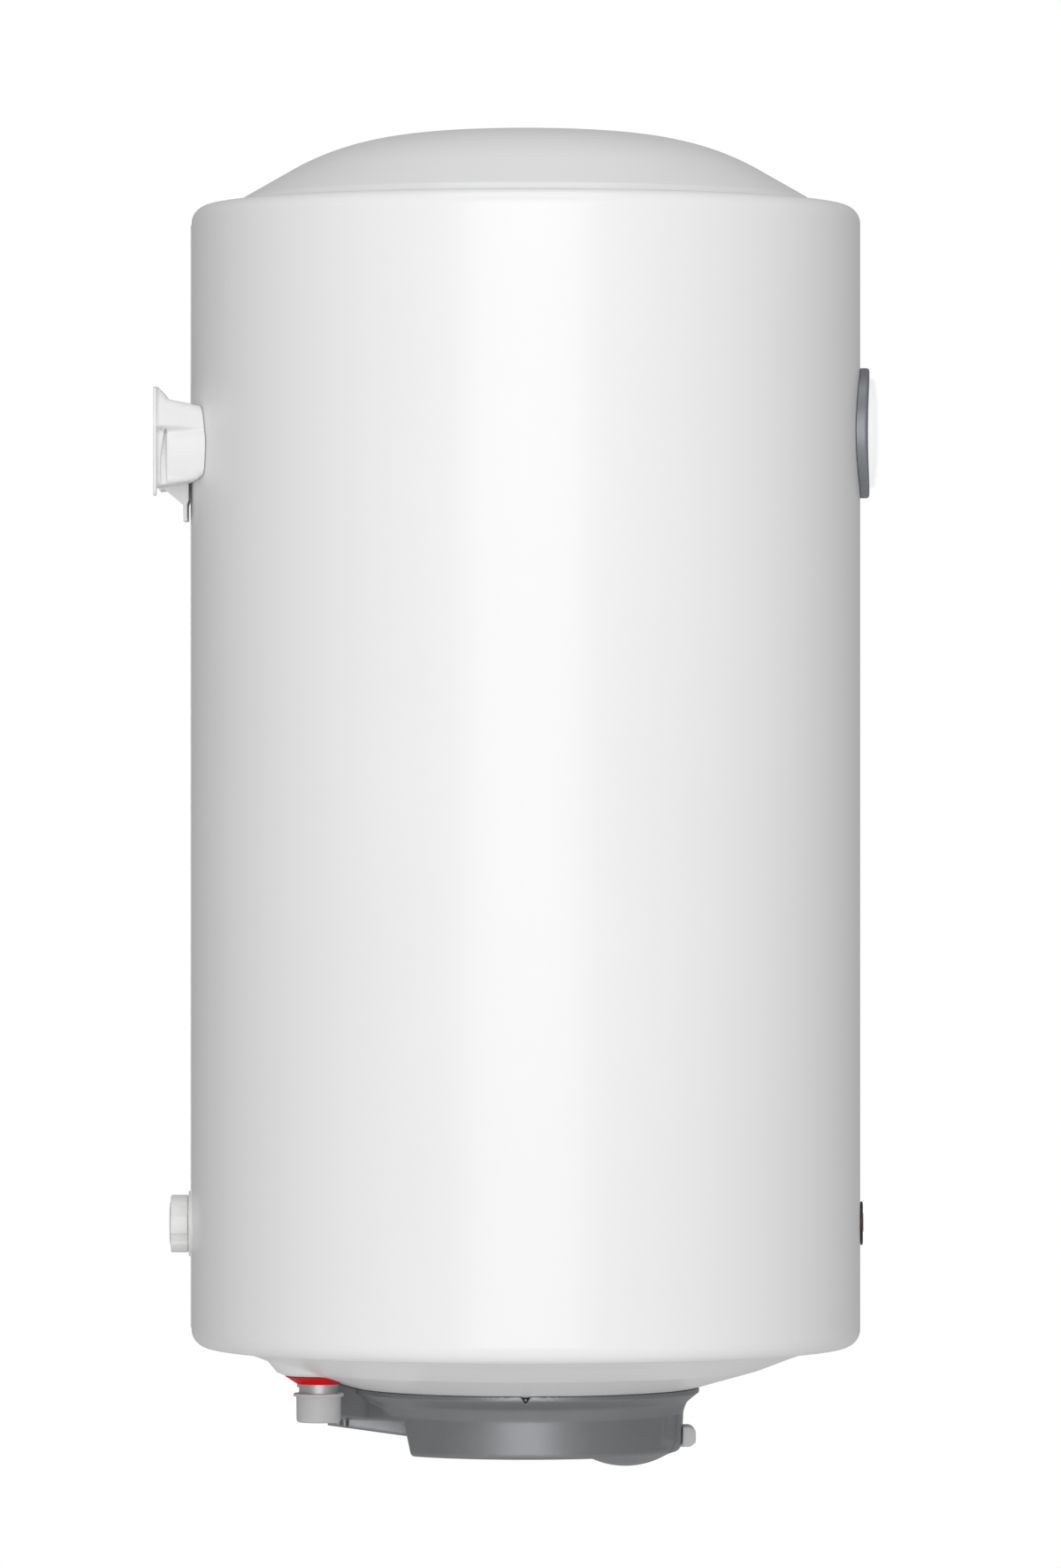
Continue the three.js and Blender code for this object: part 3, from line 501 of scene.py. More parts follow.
def foam_finish():
    finish = Finish("foam", (0.80, 0.70, 0.42), 0.9)
    finish.tint(finish.noise(30, 4), 0.85, 1.05)
    finish.bump(finish.cells(3), 0.8, 0.8)
    return finish.material


def glass_enamel():
    finish = Finish("tank_enamel", (0.03, 0.06, 0.11), 0.25)
    finish.tint(finish.noise(1.5, 4), 0.6, 1.8, 0.45, 0.6)
    finish.bump(finish.noise(6, 2), 0.05, 0.6)
    return finish.material


def clear_plastic():
    finish = Finish("clear", (0.90, 0.92, 0.93), 0.06, **{"Alpha": 0.07, "IOR": 1.46})
    finish.gloss(finish.noise(12, 2), 0.03, 0.07)
    finish.bump(finish.noise(9, 1), 0.004, 0.3)
    return finish.material


def lamp_plastic():
    finish = Finish("lamp", (0.9, 0.09, 0.04), 0.12, **{"Transmission Weight": 0.75, "IOR": 1.49})
    finish.tint(finish.noise(2, 2), 0.9, 1.0)
    finish.bump(finish.cells(0.8), 0.05, 0.4)
    return finish.material


materials = {
    "enamel": enamel("enamel", (0.90, 0.90, 0.90)),
    "dome": enamel("dome", (0.87, 0.87, 0.875), 0.34),
    "white_steel": powder("white_steel", (0.84, 0.84, 0.84)),
    "foam": foam_finish(),
    "tank_enamel": glass_enamel(),
    "steel": metal("steel", (0.62, 0.64, 0.65), 0.5, 0.9, (1, 1, 12), 0.012),
    "zinc": metal("zinc", (0.70, 0.72, 0.74), 0.34, 3.0, depth=0.02),
    "copper": metal("copper", (0.78, 0.45, 0.30), 0.3, 1.0, (1, 1, 0.05)),
    "magnesium": metal("magnesium", (0.50, 0.51, 0.52), 0.6, 1.2, depth=0.1),
    "rubber": moulded("rubber", (0.022, 0.022, 0.022), 0.8, 0.5, 0.04),
    "cover_grey": moulded("cover_grey", (0.265, 0.27, 0.28), 0.42, level=1.0, metallic=0.75),
    "pale_grey": moulded("pale_grey", (0.56, 0.56, 0.565), 0.45),
    "bezel_grey": moulded("bezel_grey", (0.24, 0.25, 0.27), 0.45, 0.25, 0.006, level=0.6, metallic=0.5),
    "white_plastic": moulded("white_plastic", (0.84, 0.84, 0.835), 0.4),
    "dial_white": moulded("dial_white", (0.86, 0.86, 0.86), 0.5, 0.2, 0.006),
    "red": moulded("red", (0.74, 0.003, 0.005), 0.45, 0.3, 0.01, level=0.15),
    "blue": moulded("blue", (0.015, 0.07, 0.42), 0.38, 0.3, 0.01),
    "lamp": lamp_plastic(),
    "black": moulded("black", (0.02, 0.02, 0.022), 0.42),
    "clear": clear_plastic(),
}
slot_of = {item["node"]: item["material_slot"] for item in frame["record"]["subparts"]}

# Every CAD node that stays in view takes the finish of its slot.
for node, thing in frame["nodes"].items():
    thing.data.materials.clear()
    thing.data.materials.append(materials[slot_of[node]])


def make(name, shape, slot, body="root", replaces=(), sharp=SHARP):
    """A finished piece: its mesh, its material, the body that carries it and the nodes it stands for."""
    mesh = mesh_of(shape, name)
    mesh.polygons.foreach_set("use_smooth", [True] * len(mesh.polygons))
    mesh.set_sharp_from_angle(angle=sharp)
    mesh.materials.append(materials[slot])
    piece = link(bpy.data.objects.new(name, mesh))
    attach(piece, body)
    if replaces:
        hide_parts(*replaces)
    return piece


# ---------------------------------------------------------------- jacket and covers

EDGE_RADIUS = 11.8
SHELL_TOP = LIP_TOP - 1
SHELL_BOTTOM = LIP_BOTTOM + 1.1
SHEET = 1.0
COVER_SHEET = 1.2
CROWN_RADIUS, CROWN_FALL, CROWN_POWER = 160, 28.6, 3.38
CONE = [(111, -630.2), (156, -617.5), (180, -608.4), (LIP_RADIUS - 0.6, -604.3)]
PAD = [(22.7, -618.9), (27.5, -616.8), (32.4, -611), (35.5, -606.9), (60, -575)]


def jacket():
    """The rolled sheet with its folded rims."""
    rim = SHELL_RADIUS - EDGE_RADIUS
    low, high = SHELL_BOTTOM + EDGE_RADIUS, SHELL_TOP - EDGE_RADIUS
    outside = [
        (LIP_RADIUS, LIP_BOTTOM),
        *arc((rim, low), EDGE_RADIUS, -90, 0, 14),
        *arc((rim, high), EDGE_RADIUS, 0, 90, 14),
        (LIP_RADIUS, LIP_TOP),
    ]
    inside = [
        (LIP_RADIUS, LIP_TOP - SHEET),
        *arc((rim, high), EDGE_RADIUS - SHEET, 90, 0, 8),
        *arc((rim, low), EDGE_RADIUS - SHEET, 0, -90, 8),
        (LIP_RADIUS, LIP_BOTTOM + SHEET),
    ]
    return moved(lathe(outside + inside, SMOOTH), *AXIS)


def jacket_seam():
    """The lock seam that closes the rolled sheet, a flat strip down the back."""
    half, proud = math.radians(2.2), 0.7
    outline = [
        *arc((0, 0), SHELL_RADIUS + proud, 90 - math.degrees(half), 90 + math.degrees(half), 12),
        *arc((0, 0), SHELL_RADIUS - 0.4, 90 + math.degrees(half) + 0.25, 90 - math.degrees(half) - 0.25, 12),
    ]
    return moved(prism(outline, SHELL_BOTTOM + EDGE_RADIUS + 1, SHELL_TOP - EDGE_RADIUS - 1), *AXIS)


def dome_height(radius):
    """Height of the top cover inside its shoulder: flat in the middle, steeper outwards."""
    return DOME_APEX - CROWN_FALL * (radius / CROWN_RADIUS) ** CROWN_POWER


def top_dome():
    edge = LIP_RADIUS - 0.6
    crown = [(radius, dome_height(radius)) for radius in np.linspace(CROWN_RADIUS, 0, 40)]
    under = [(radius, height - COVER_SHEET) for radius, height in crown[::-1]]
    skirt = [(edge, 151), (edge, 157.2, 1.2), (187.5, 161.4, 3), (crown[0][0], crown[0][1], 14)]
    inner = [
        (under[-1][0] - 0.5, under[-1][1] + 0.2, 12), (186.7, 159.8, 2),
        (edge - COVER_SHEET, 156.4), (edge - COVER_SHEET, 151),
    ]
    outline = rounded([*skirt, *crown[1:], *under[:-1], *inner])
    return moved(lathe(outline, SMOOTH), *AXIS)


def bottom_face(x, y):
    """Height of the lower cover's face, with the level pads around the two pipes."""
    height = np.interp(np.hypot(x, y), *zip(*CONE))
    distances, pad_heights = zip(*PAD)
    for pipe in PIPES.values():
        reach = np.hypot(x - pipe.x, y - pipe.y)
        height = soft_min(height, np.interp(reach, distances, pad_heights), 1.2)
    return height


def bottom_dome():
    """The lower cover: a shallow cone with an opening, two pads and a short skirt at its rim."""
    radii = np.linspace(CONE[0][0], LIP_RADIUS - 1.1, 84)
    radii = np.concatenate([radii, [LIP_RADIUS - 0.75, LIP_RADIUS - 0.6]])
    turns = np.linspace(0, TAU, 3 * SMOOTH, endpoint=False)
    spread, turn = np.meshgrid(radii, turns, indexing="ij")
    x, y = spread * np.cos(turn), spread * np.sin(turn)
    outer = np.stack([x, y, bottom_face(x, y)], axis=-1)
    outer[-1, :, 2] = -603.9
    skirt = outer[-1:].copy()
    skirt[..., 2] = -597
    outer = np.concatenate([outer, skirt])
    shrink = 1 - COVER_SHEET / spread[-1, 0]
    inner = outer.copy()
    inner[:-1, :, 2] += COVER_SHEET
    inner[-3:, :, :2] *= shrink
    points, faces = sheet_grid(outer, inner)
    return moved((points, [face[::-1] for face in faces]), *AXIS)


make("jacket", jacket(), "enamel", replaces=["outer_shell"])
make("jacket_seam", jacket_seam(), "enamel")
make("top_dome", top_dome(), "dome", replaces=["top_dome_cover"], sharp=math.radians(50))
make("bottom_dome", bottom_dome(), "enamel", replaces=["bottom_dome_cover"], sharp=math.radians(50))

# ---------------------------------------------------------------- water pipes

COLLAR_END = -624.6
THREAD_PITCH = 1.814
THREAD_DEPTH = 0.9
THREAD_LENGTH = 15
NIPPLE_TOP = -600
PIPE_BORE = 10
COVER_GAP = 0.25
CAP_RADIUS = 14.65


def collar(pipe):
    """A coloured collar that widens up to the pad, cut where the cover slopes down past it."""
    inner, high = PIPE_RADIUS + 0.3, PAD[0][1] - COVER_GAP
    ring = lathe(rounded([
        (inner, COLLAR_END), (inner + 0.9, COLLAR_END, 0.3), (PAD[0][0], high, 0.25), (inner, high),
    ]))
    cone = [(radius, height - COVER_GAP) for radius, height in CONE]
    above = lathe([(0, cone[0][1]), *cone, (240, -590), (0, -590)], SMOOTH)
    return moved(combined(moved(ring, pipe.x, pipe.y), above), *AXIS)


def nipple(pipe):
    """A pipe stub: turned smooth above, with a pipe thread at its end."""
    rows = np.arange(0, THREAD_LENGTH + 0.01, THREAD_PITCH / 8)
    turns = np.linspace(0, TAU, 96, endpoint=False)
    height, turn = np.meshgrid(rows, turns, indexing="ij")
    wave = np.abs(((height / THREAD_PITCH - turn / TAU) % 1) * 2 - 1)
    fade = np.clip((THREAD_LENGTH - height) / 3, 0, 1) * np.clip(height / 1.2 + 0.35, 0, 1)
    depth = THREAD_DEPTH * np.clip(wave * 1.4 - 0.2, 0, 1) * fade
    depth = np.maximum(depth, 0.8 - height)
    radius = PIPE_RADIUS - depth
    threaded = ring(radius, PIPE_END + height, turn)
    top = threaded[-1:].copy()
    top[..., :2] *= (PIPE_RADIUS / radius[-1])[None, :, None]
    top[..., 2] = NIPPLE_TOP
    outer = np.concatenate([threaded, top])
    inner = ring(PIPE_BORE, PIPE_END + height, turn)
    inner = np.concatenate([inner, inner[-1:]])
    inner[-1, :, 2] = NIPPLE_TOP
    points, faces = sheet_grid(outer, inner)
    return moved((points, faces), *(AXIS + Vector((pipe.x, pipe.y, 0))))


def cap(pipe, low, high):
    """A push-on cap with a thin flange, a rounded end and a small gate mark under it."""
    flange = (high.x - low.x) / 2
    inside = PIPE_RADIUS + 0.3
    outline = rounded([
        (0, low.z + 0.4), (2.2, low.z + 0.4), (2.6, low.z), (CAP_RADIUS, low.z, 2.2),
        (CAP_RADIUS + 0.15, high.z - 2, 0.5), (flange, high.z - 2, 0.5), (flange, high.z, 0.7),
        (inside, high.z, 0.3), (inside, low.z + 1.6, 1.2), (0, low.z + 1.6),
    ])
    return moved(lathe(outline), *(AXIS + Vector((pipe.x, pipe.y, 0))))


for side, pipe in PIPES.items():
    end = "outlet" if side == "hot" else "inlet"
    tint = "red" if side == "hot" else "blue"
    make(f"{side}_collar", collar(pipe), tint, replaces=[f"{side}_pipe_collar"])
    make(f"{side}_nipple", nipple(pipe), "steel", replaces=[f"{side}_{end}_nipple"])
    make(f"{side}_cap", cap(pipe, *from_axis(f"{side}_pipe_cap")), "pale_grey", f"{side}_cap",
         [f"{side}_pipe_cap"])

# ---------------------------------------------------------------- electrical cover

COVER_WALL = 2.5
COVER_RADIUS = 103.8
COVER_FLOOR = -671.6
BASE_FLOOR = -649.5
REAR_CUT = 80.3
TONGUE_END = COVER_HIGH.y
TONGUE_HALF = 15.4
SCALLOP_RADIUS = 35
BUMP = Vector((50, -66.1, -627.9))
BUMP_RADIUS = BUMP.z - COVER_LOW.z
KNOB_FLOOR = 97.6
POCKET_RADIUS = 10.4
POD_HALF, RECESS_HALF, RECESS_DEPTH = 26.5, 42.7, 1.2
RECESS_LOW, RECESS_HIGH = -670.9, -646.7
NOTCH_TIP, NOTCH_SLOPE = -634.2, 0.6
LAMP_HOLE, SHAFT_HOLE, GLAND_HOLE = 3.3, 3.6, 6.3
GLAND_HEIGHT = middle("cable_gland").z - AXIS.z
GLAND_FACE = back_of("cable_gland")
KNOB_TIP = front_of("thermostat_knob")
COVER_STEP = 0.8
SCREW_X = middle("cover_screw_2").x
TABLE_STEP = 0.25


def tabled(field, low, high):
    """A field of two numbers, looked up in a fine table between its corners."""
    a = np.arange(low[0], high[0], TABLE_STEP)
    b = np.arange(low[1], high[1], TABLE_STEP)
    table = field(*np.meshgrid(a, b, indexing="ij"))

    def read(u, v):
        u = np.clip((u - low[0]) / TABLE_STEP, 0, len(a) - 1.001)
        v = np.clip((v - low[1]) / TABLE_STEP, 0, len(b) - 1.001)
        i, j = u.astype(int), v.astype(int)
        p, q = u - i, v - j
        return (
            table[i, j] * (1 - p) * (1 - q) + table[i + 1, j] * p * (1 - q)
            + table[i, j + 1] * (1 - p) * q + table[i + 1, j + 1] * p * q
        )

    return read


def round_outline():
    """Side outline of the cover's round wall: a floor, a wall and a flared lip, carried on upwards."""
    return rounded([
        (-150, COVER_FLOOR), (102.3, COVER_FLOOR, 3.2), (COVER_RADIUS, -646, 6), (107.4, -639, 9),
        (115.4, -632.6, 0.5), (115.4, -600), (-150, -600),
    ], 8)


def extension_outline():
    """Plan of the rear extension: it narrows between the pipes along two scallops."""
    hot = PIPES["hot"]
    scallop = [(x, min(y, TONGUE_END)) for x, y in arc((hot.x, hot.y), SCALLOP_RADIUS, -73, -8.5, 24)]
    left = [(-66, 60), (-66, 78), *scallop]
    return [*left, *[(-x, y) for x, y in reversed(left)]]


def cover_fields():
    """The cover's outer surface, carried on upwards, as one field."""
    reach = ((-140, -700), (175, -590))
    deep_wall = tabled(polygon_field(round_outline()), *reach)
    plan = tabled(polygon_field(extension_outline()), (-130, -130), (130, 150))
    under = tabled(polygon_field([
        (40, -600), (40, -664.9), (78.7, -661.7), (TONGUE_END, -654.4), (TONGUE_END, -600),
    ]), (-150, -700), (160, -590))
    lean = 4.9 / 22.5

    def field(x, y, z):
        radius = np.hypot(x, y)
        rear = (y - REAR_CUT - lean * np.minimum(z + 650, 0)) / math.hypot(1, lean)
        wall = deep_wall(radius, z)
        deep = soft_max(wall, rear, 2.5)
        barrel = np.hypot(y - BUMP.y, z - BUMP.z) - (BUMP_RADIUS - 0.005 * x * x)
        barrel = soft_max(soft_max(barrel, np.abs(x) - BUMP.x, 3), radius - COVER_RADIUS, 0.6)
        extension = soft_max(plan(x, y), BASE_FLOOR - z, 2)
        tongue = soft_max(under(y, z), np.abs(x) - TONGUE_HALF, 2)
        rib = np.hypot(np.abs(x) - TONGUE_HALF, y - 120.5) - 2.4
        rib = np.maximum(rib, under(y, z) + 0.4)
        notch = np.maximum(np.abs(y) - NOTCH_SLOPE * (z - NOTCH_TIP), 109 - np.abs(x))
        wall = np.maximum(wall, -notch)
        deep = np.maximum(deep, -notch)
        body = np.minimum(deep, soft_max(wall, BASE_FLOOR - z, 2))
        body = soft_min(body, barrel, 4)
        body = soft_min(body, extension, 1)
        return soft_min(soft_min(body, tongue, 1), rib, 0.6)

    return field


def window(x, z, half, low, high, edge):
    """1 inside a band of half width and height, 0 outside, with soft edges."""
    inside = np.maximum(np.abs(x) - half, np.abs(z - (low + high) / 2) - (high - low) / 2)
    share = np.clip(0.5 - inside / edge, 0, 1)
    return share * share * (3 - 2 * share)


def electrical_cover():
    """The hollow cover: its outer surface less the inside, the pocket, the screw wells and the holes."""
    surface = cover_fields()
    radii, heights = zip((0, CONE[0][1]), *CONE, (240, -590))

    def field(x, y, z):
        radius = np.hypot(x, y)
        outer = surface(x, y, z)
        facing = (y < 0).astype(float)
        pod = window(x, z, POD_HALF, -720, -600, 1.0)
        recess = window(x, z, RECESS_HALF, RECESS_LOW, RECESS_HIGH, 1.6)
        outer = outer + facing * (1 - pod) * RECESS_DEPTH * recess
        top = z - np.interp(radius, radii, heights) + 0.4
        pocket = np.hypot(x, z - KNOB.z)
        front_pocket = np.maximum(pocket - POCKET_RADIUS, y + KNOB_FLOOR)
        behind = np.maximum(pocket - POCKET_RADIUS - COVER_WALL, y + KNOB_FLOOR - COVER_WALL)
        post = np.hypot(np.abs(x) - SCREW_X, y)
        hollow = np.maximum(outer + COVER_WALL, -behind)
        hollow = np.maximum(hollow, -np.maximum(post - 7, z + 632))
        body = np.maximum(soft_max(outer, top, 0.5), -hollow)
        body = soft_max(body, -front_pocket, 0.8)
        body = soft_max(body, -np.maximum(post - 5, z + 652), 0.6)
        body = np.maximum(body, 2.4 - post)
        lamp = np.maximum(np.hypot(x - LAMP.x, z - LAMP.z) - LAMP_HOLE, y + 80)
        shaft = np.maximum(pocket - SHAFT_HOLE, y + 80)
        gland = np.maximum(np.hypot(x, z - GLAND_HEIGHT) - GLAND_HOLE, 120 - y)
        return np.maximum(body, -np.minimum(np.minimum(lamp, shaft), gland))

    return moved(skin_of(field, COVER_LOW, COVER_HIGH, COVER_STEP), *AXIS)


SIDEWAYS = Matrix(((0, 0, 1), (1, 0, 0), (0, 1, 0))).to_4x4()


def across(outline, half_width):
    """A side outline of (y, z) points, spread to both sides of x = 0."""
    return placed(prism(outline, -half_width, half_width), SIDEWAYS)


def knob():
    """Thermostat knob: a stepped round base in its pocket and a bar grip with a rounded nose."""
    grip_back, grip_front, half, nose = 104.2, KNOB_TIP, 6.7, 5.3
    section = rounded([
        (-half, grip_back), (half, grip_back), (half, grip_front, nose), (-half, grip_front, nose),
    ], 9)
    grip = bevelled(across(section, 15), 0.7)
    base = lathe(rounded([
        (0, KNOB_FLOOR + 0.6), (9.2, KNOB_FLOOR + 0.6, 0.2), (9.2, 100.6, 0.4), (8.4, 101.0, 0.2),
        (8.4, 102.2, 0.3), (7.6, 102.6, 0.2), (7.6, grip_back + 0.6), (0, grip_back + 0.6),
    ]))
    pointer = bevelled(prism(rectangle(0.5, 4.6), 0, 0.5), 0.1, 2)
    return together(grip, base), moved(pointer, -12.5, 0, KNOB_TIP - 0.35)


make("cover", electrical_cover(), "cover_grey", replaces=["bottom_cover"], sharp=math.radians(70))
knob_shape, pointer_shape = knob()
make("knob", placed(knob_shape, front(KNOB)), "pale_grey", "thermostat", ["thermostat_knob"])
make("knob_pointer", placed(pointer_shape, front(KNOB)), "white_plastic", "thermostat")


def on_cover(x, z):
    """Turns a mark drawn along +Z from the axis onto the cover's round front, at a place."""
    turn = Matrix.Rotation(math.asin(x / COVER_RADIUS), 4, "Z")
    return Matrix.Translation(AXIS + Vector((0, 0, z))) @ turn @ Matrix.Rotation(math.pi / 2, 4, "X")


MARK_FACE = COVER_RADIUS + 0.15
MARK_HEIGHT = KNOB.z + 12.2
MARK_SINK = 0.6
DOT_FACE = MARK_FACE - 1.15
DOT_RADIUS, DOT_X = 1.7, 35.5


def bar(half_width, half_height, x):
    """A small printed bar beside the knob."""
    shape = prism(rectangle(half_width, half_height), MARK_FACE - MARK_SINK, MARK_FACE)
    return placed(shape, on_cover(x, MARK_HEIGHT))


bars = [bar(0.35, 0.5 + 0.16 * i, x) for i, x in enumerate(range(-9, 10, 3))]
bars += [bar(0.3, 1.0, side * (44.5 + 2 * i)) for side in (-1, 1) for i in range(3)]
dot_back = DOT_FACE - MARK_SINK
dot = lathe([(0, dot_back), (DOT_RADIUS, dot_back), (DOT_RADIUS, DOT_FACE), (0, DOT_FACE)], 48)
make("scale_cold_dot", placed(dot, on_cover(-DOT_X, MARK_HEIGHT)), "blue")
make("scale_hot_dot", placed(dot, on_cover(DOT_X, MARK_HEIGHT)), "red")
make("scale_bars", together(*bars), "white_plastic")


def lamp_lens():
    """The indicator's black rim and its domed lens."""
    rim = lathe(rounded([
        (2.9, 96), (3.2, 96), (3.2, 102.1), (4.3, 102.1, 0.3), (4.1, 102.9, 0.3), (2.9, 102.9, 0.2),
    ]), 64)
    dome = lathe([(0, 92), (2.8, 92), (2.8, 101.6), *arc((0, 98.9), 4, 43, 88, 8), (0, 102.9)], 64)
    return rim, dome


rim_shape, dome_shape = lamp_lens()
make("indicator_rim", placed(rim_shape, front(LAMP)), "black")
make("indicator", placed(dome_shape, front(LAMP)), "lamp", replaces=["indicator_lens"])


def screw(node):
    """A pan-head screw with a cross recess, seen from below in its seat."""
    low, high = corners(node)
    top = low.z + 2.6
    body = lathe(rounded([
        (0, low.z), (3.2, low.z, 0.6), (4.4, low.z + 1.2, 0.8), (4.4, top, 0.2), (2, top), (2, high.z, 0.4),
        (0, high.z),
    ]), 48)
    arm = prism(rounded(rectangle(2.4, 0.45, 0.2), 3), low.z - 1, low.z + 1.3)
    turned = placed(arm, Matrix.Rotation(math.pi / 2, 4, "Z"))
    return moved(combined(combined(body, arm), turned), middle(node).x, AXIS.y, 0)


for node in ("cover_screw_1", "cover_screw_2"):
    make(node.replace("cover_", "floor_"), screw(node), "zinc", replaces=[node])


def gland():
    """The cable gland's nut, ribbed for grip, around an open throat."""
    ribs, rib_depth, throat = 24, 0.5, 4.2
    turns = np.linspace(0, TAU, ribs * 8, endpoint=False)
    groove = rib_depth * (np.cos(ribs * turns) > 0.2)
    start, end = TONGUE_END, GLAND_FACE
    rows = [
        (6, 125, 0), (6, start + 0.3, 0), (7.6, start + 0.3, 0), (8, start + 0.7, 1), (8, end - 0.9, 1),
        (7.4, end, 0), (5.2, end, 0),
    ]
    outer = np.array([ring(radius - groove * share, height, turns) for radius, height, share in rows])
    inner = np.array([ring(throat, height, turns) for _, height, _ in rows])
    return sheet_grid(outer, inner)


make("gland_nut", placed(gland(), back(Vector((0, 0, GLAND_HEIGHT)))), "black", replaces=["cable_gland"])

# ---------------------------------------------------------------- thermometer and badge


def hugging(profile, segments=SMOOTH, flatter=0.0):
    """A ring around a profile of (radius, height above the jacket) that follows the jacket's curve.

    Its highest points follow the curve less, by the share called flatter.
    """
    points, faces = lathe(profile, segments)
    x, height = points[:, 0], points[:, 2]
    reach = SHELL_RADIUS + height
    drop = (reach - np.sqrt(reach ** 2 - x * x)) * (1 - flatter * height / height.max())
    points[:, 2] = reach - drop
    return points, faces


BEZEL_RADIUS = half_width("thermometer_bezel")
LENS_RADIUS = half_width("thermometer_lens")
LENS_FRONT = front_of("thermometer_lens")
BEZEL_PROUD = front_of("thermometer_bezel") - SHELL_RADIUS
DIAL_FACE = front_of("thermometer_dial")
DIAL_RADIUS = half_width("thermometer_dial")
NEEDLE_LOW = DIAL_FACE + 1.2
NEEDLE_REST = 125
SCALE_START = NEEDLE_REST + 90
LENS_CROWN, LENS_WALL = 1.92, 1.5
PRINT = 0.12
SCALE_SWEEP = 250


def bezel():
    return hugging(rounded([
        (LENS_RADIUS + 0.3, 0.4), (BEZEL_RADIUS, 0.4), (BEZEL_RADIUS, BEZEL_PROUD, 1.8),
        (LENS_RADIUS + 1.9, BEZEL_PROUD, 0.6), (LENS_RADIUS + 0.3, BEZEL_PROUD - 1.6, 0.6),
    ], 6), flatter=0.4)


def window_lens():
    edge = LENS_RADIUS
    crown = [(radius, LENS_FRONT - LENS_CROWN * (radius / 35.8) ** 4) for radius in np.linspace(35.2, 0, 16)]
    under = [(radius, height - LENS_WALL) for radius, height in crown[::-1]]
    return lathe(rounded([
        (edge - 1.4, DIAL_FACE - 0.4), (edge, DIAL_FACE - 0.4), (edge, 230.8, 0.8), *crown, *under,
    ]))


def dial_plate():
    """The dial's disc, with a hole for the needle's pin."""
    hole, under = 1.3, DIAL_FACE - 1.2
    outline = [(hole, under), (DIAL_RADIUS, under), (DIAL_RADIUS, DIAL_FACE, 0.3), (hole, DIAL_FACE)]
    return lathe(rounded(outline))


def scale_turn(share):
    """Angle of a share of the scale, clockwise from cold to hot as the dial is seen."""
    return math.radians(SCALE_START - SCALE_SWEEP * share)


def dial_ticks():
    """Printed graduations: a long mark at every tenth and a short one between."""
    ticks = []
    for i in range(21):
        length = 4.6 if i % 2 == 0 else 2.6
        half = 0.45 if i % 2 == 0 else 0.25
        outline = [(29 - length, -half), (29, -half), (29, half), (29 - length, half)]
        tick = prism(outline, DIAL_FACE, DIAL_FACE + PRINT)
        ticks.append(placed(tick, Matrix.Rotation(scale_turn(i / 20), 4, "Z")))
    return together(*ticks)


def dial_band(start, end):
    """A printed arc beside the graduations, over part of the scale."""
    angles = [math.degrees(scale_turn(share)) for share in (start, end)]
    outline = [*arc((0, 0), 32, *angles, 30), *arc((0, 0), 30, *angles[::-1], 30)]
    return prism(outline[::-1], DIAL_FACE, DIAL_FACE + PRINT)


def needle():
    outline = [(-1.5, -9), (1.5, -9), (1.1, 0), (0.45, 28), (-0.45, 28), (-1.1, 0)]
    blade = bevelled(prism(outline, NEEDLE_LOW, NEEDLE_LOW + 0.8), 0.15, 2)
    under, top = NEEDLE_LOW - 0.4, NEEDLE_LOW + 1.6
    hub = lathe(rounded([(0, under), (3.4, under, 0.2), (3.4, top, 0.7), (0, top)]), 64)
    pin = lathe([(0, DIAL_FACE - 1), (1, DIAL_FACE - 1), (1, NEEDLE_LOW), (0, NEEDLE_LOW)], 32)
    return placed(together(blade, hub, pin), Matrix.Rotation(math.radians(NEEDLE_REST), 4, "Z"))


make("bezel", placed(bezel(), front(DIAL)), "bezel_grey", replaces=["thermometer_bezel"])
make("dial", placed(dial_plate(), front(DIAL)), "dial_white", replaces=["thermometer_dial"])
make("dial_ticks", placed(dial_ticks(), front(DIAL)), "black")
make("dial_cold_band", placed(dial_band(0.0, 0.42), front(DIAL)), "blue")
make("dial_hot_band", placed(dial_band(0.58, 1.0), front(DIAL)), "red")
make("needle", placed(needle(), front(DIAL)), "red", "needle", ["thermometer_needle"])
make("dial_lens", placed(window_lens(), front(DIAL)), "clear", replaces=["thermometer_lens"])

BADGE_FRONT = front_of("badge_disc")
BADGE_RADIUS = 12.1


def badge_ring():
    return hugging(rounded([(12.4, 0.4), (14.5, 0.4), (14.5, 1.7, 0.6), (12.4, 1.9, 0.5)], 4), FINE)


def badge_disc():
    """A slightly domed red disc."""
    radii = np.linspace(BADGE_RADIUS, 0, 14)
    crown = [(radius, BADGE_FRONT - 0.35 - 0.9 * (radius / BADGE_RADIUS) ** 2) for radius in radii]
    return lathe([(0, BADGE_FRONT - 2), (BADGE_RADIUS, BADGE_FRONT - 2), *crown], FINE)


def badge_drop():
    """A plain water drop in low relief."""
    outline = [*arc((0, -1.6), 4.2, -208, 28, 28), (0.25, 6.6), (-0.25, 6.6)]
    return bevelled(prism(outline, BADGE_FRONT - 1.4, BADGE_FRONT), 0.3, 3)


make("badge_rim", placed(badge_ring(), front(BADGE)), "black", replaces=["badge_ring"])
make("badge", placed(badge_disc(), front(BADGE)), "red", replaces=["badge_disc"])
make("badge_drop", placed(badge_drop(), front(BADGE)), "white_plastic")

# ---------------------------------------------------------------- wall bracket

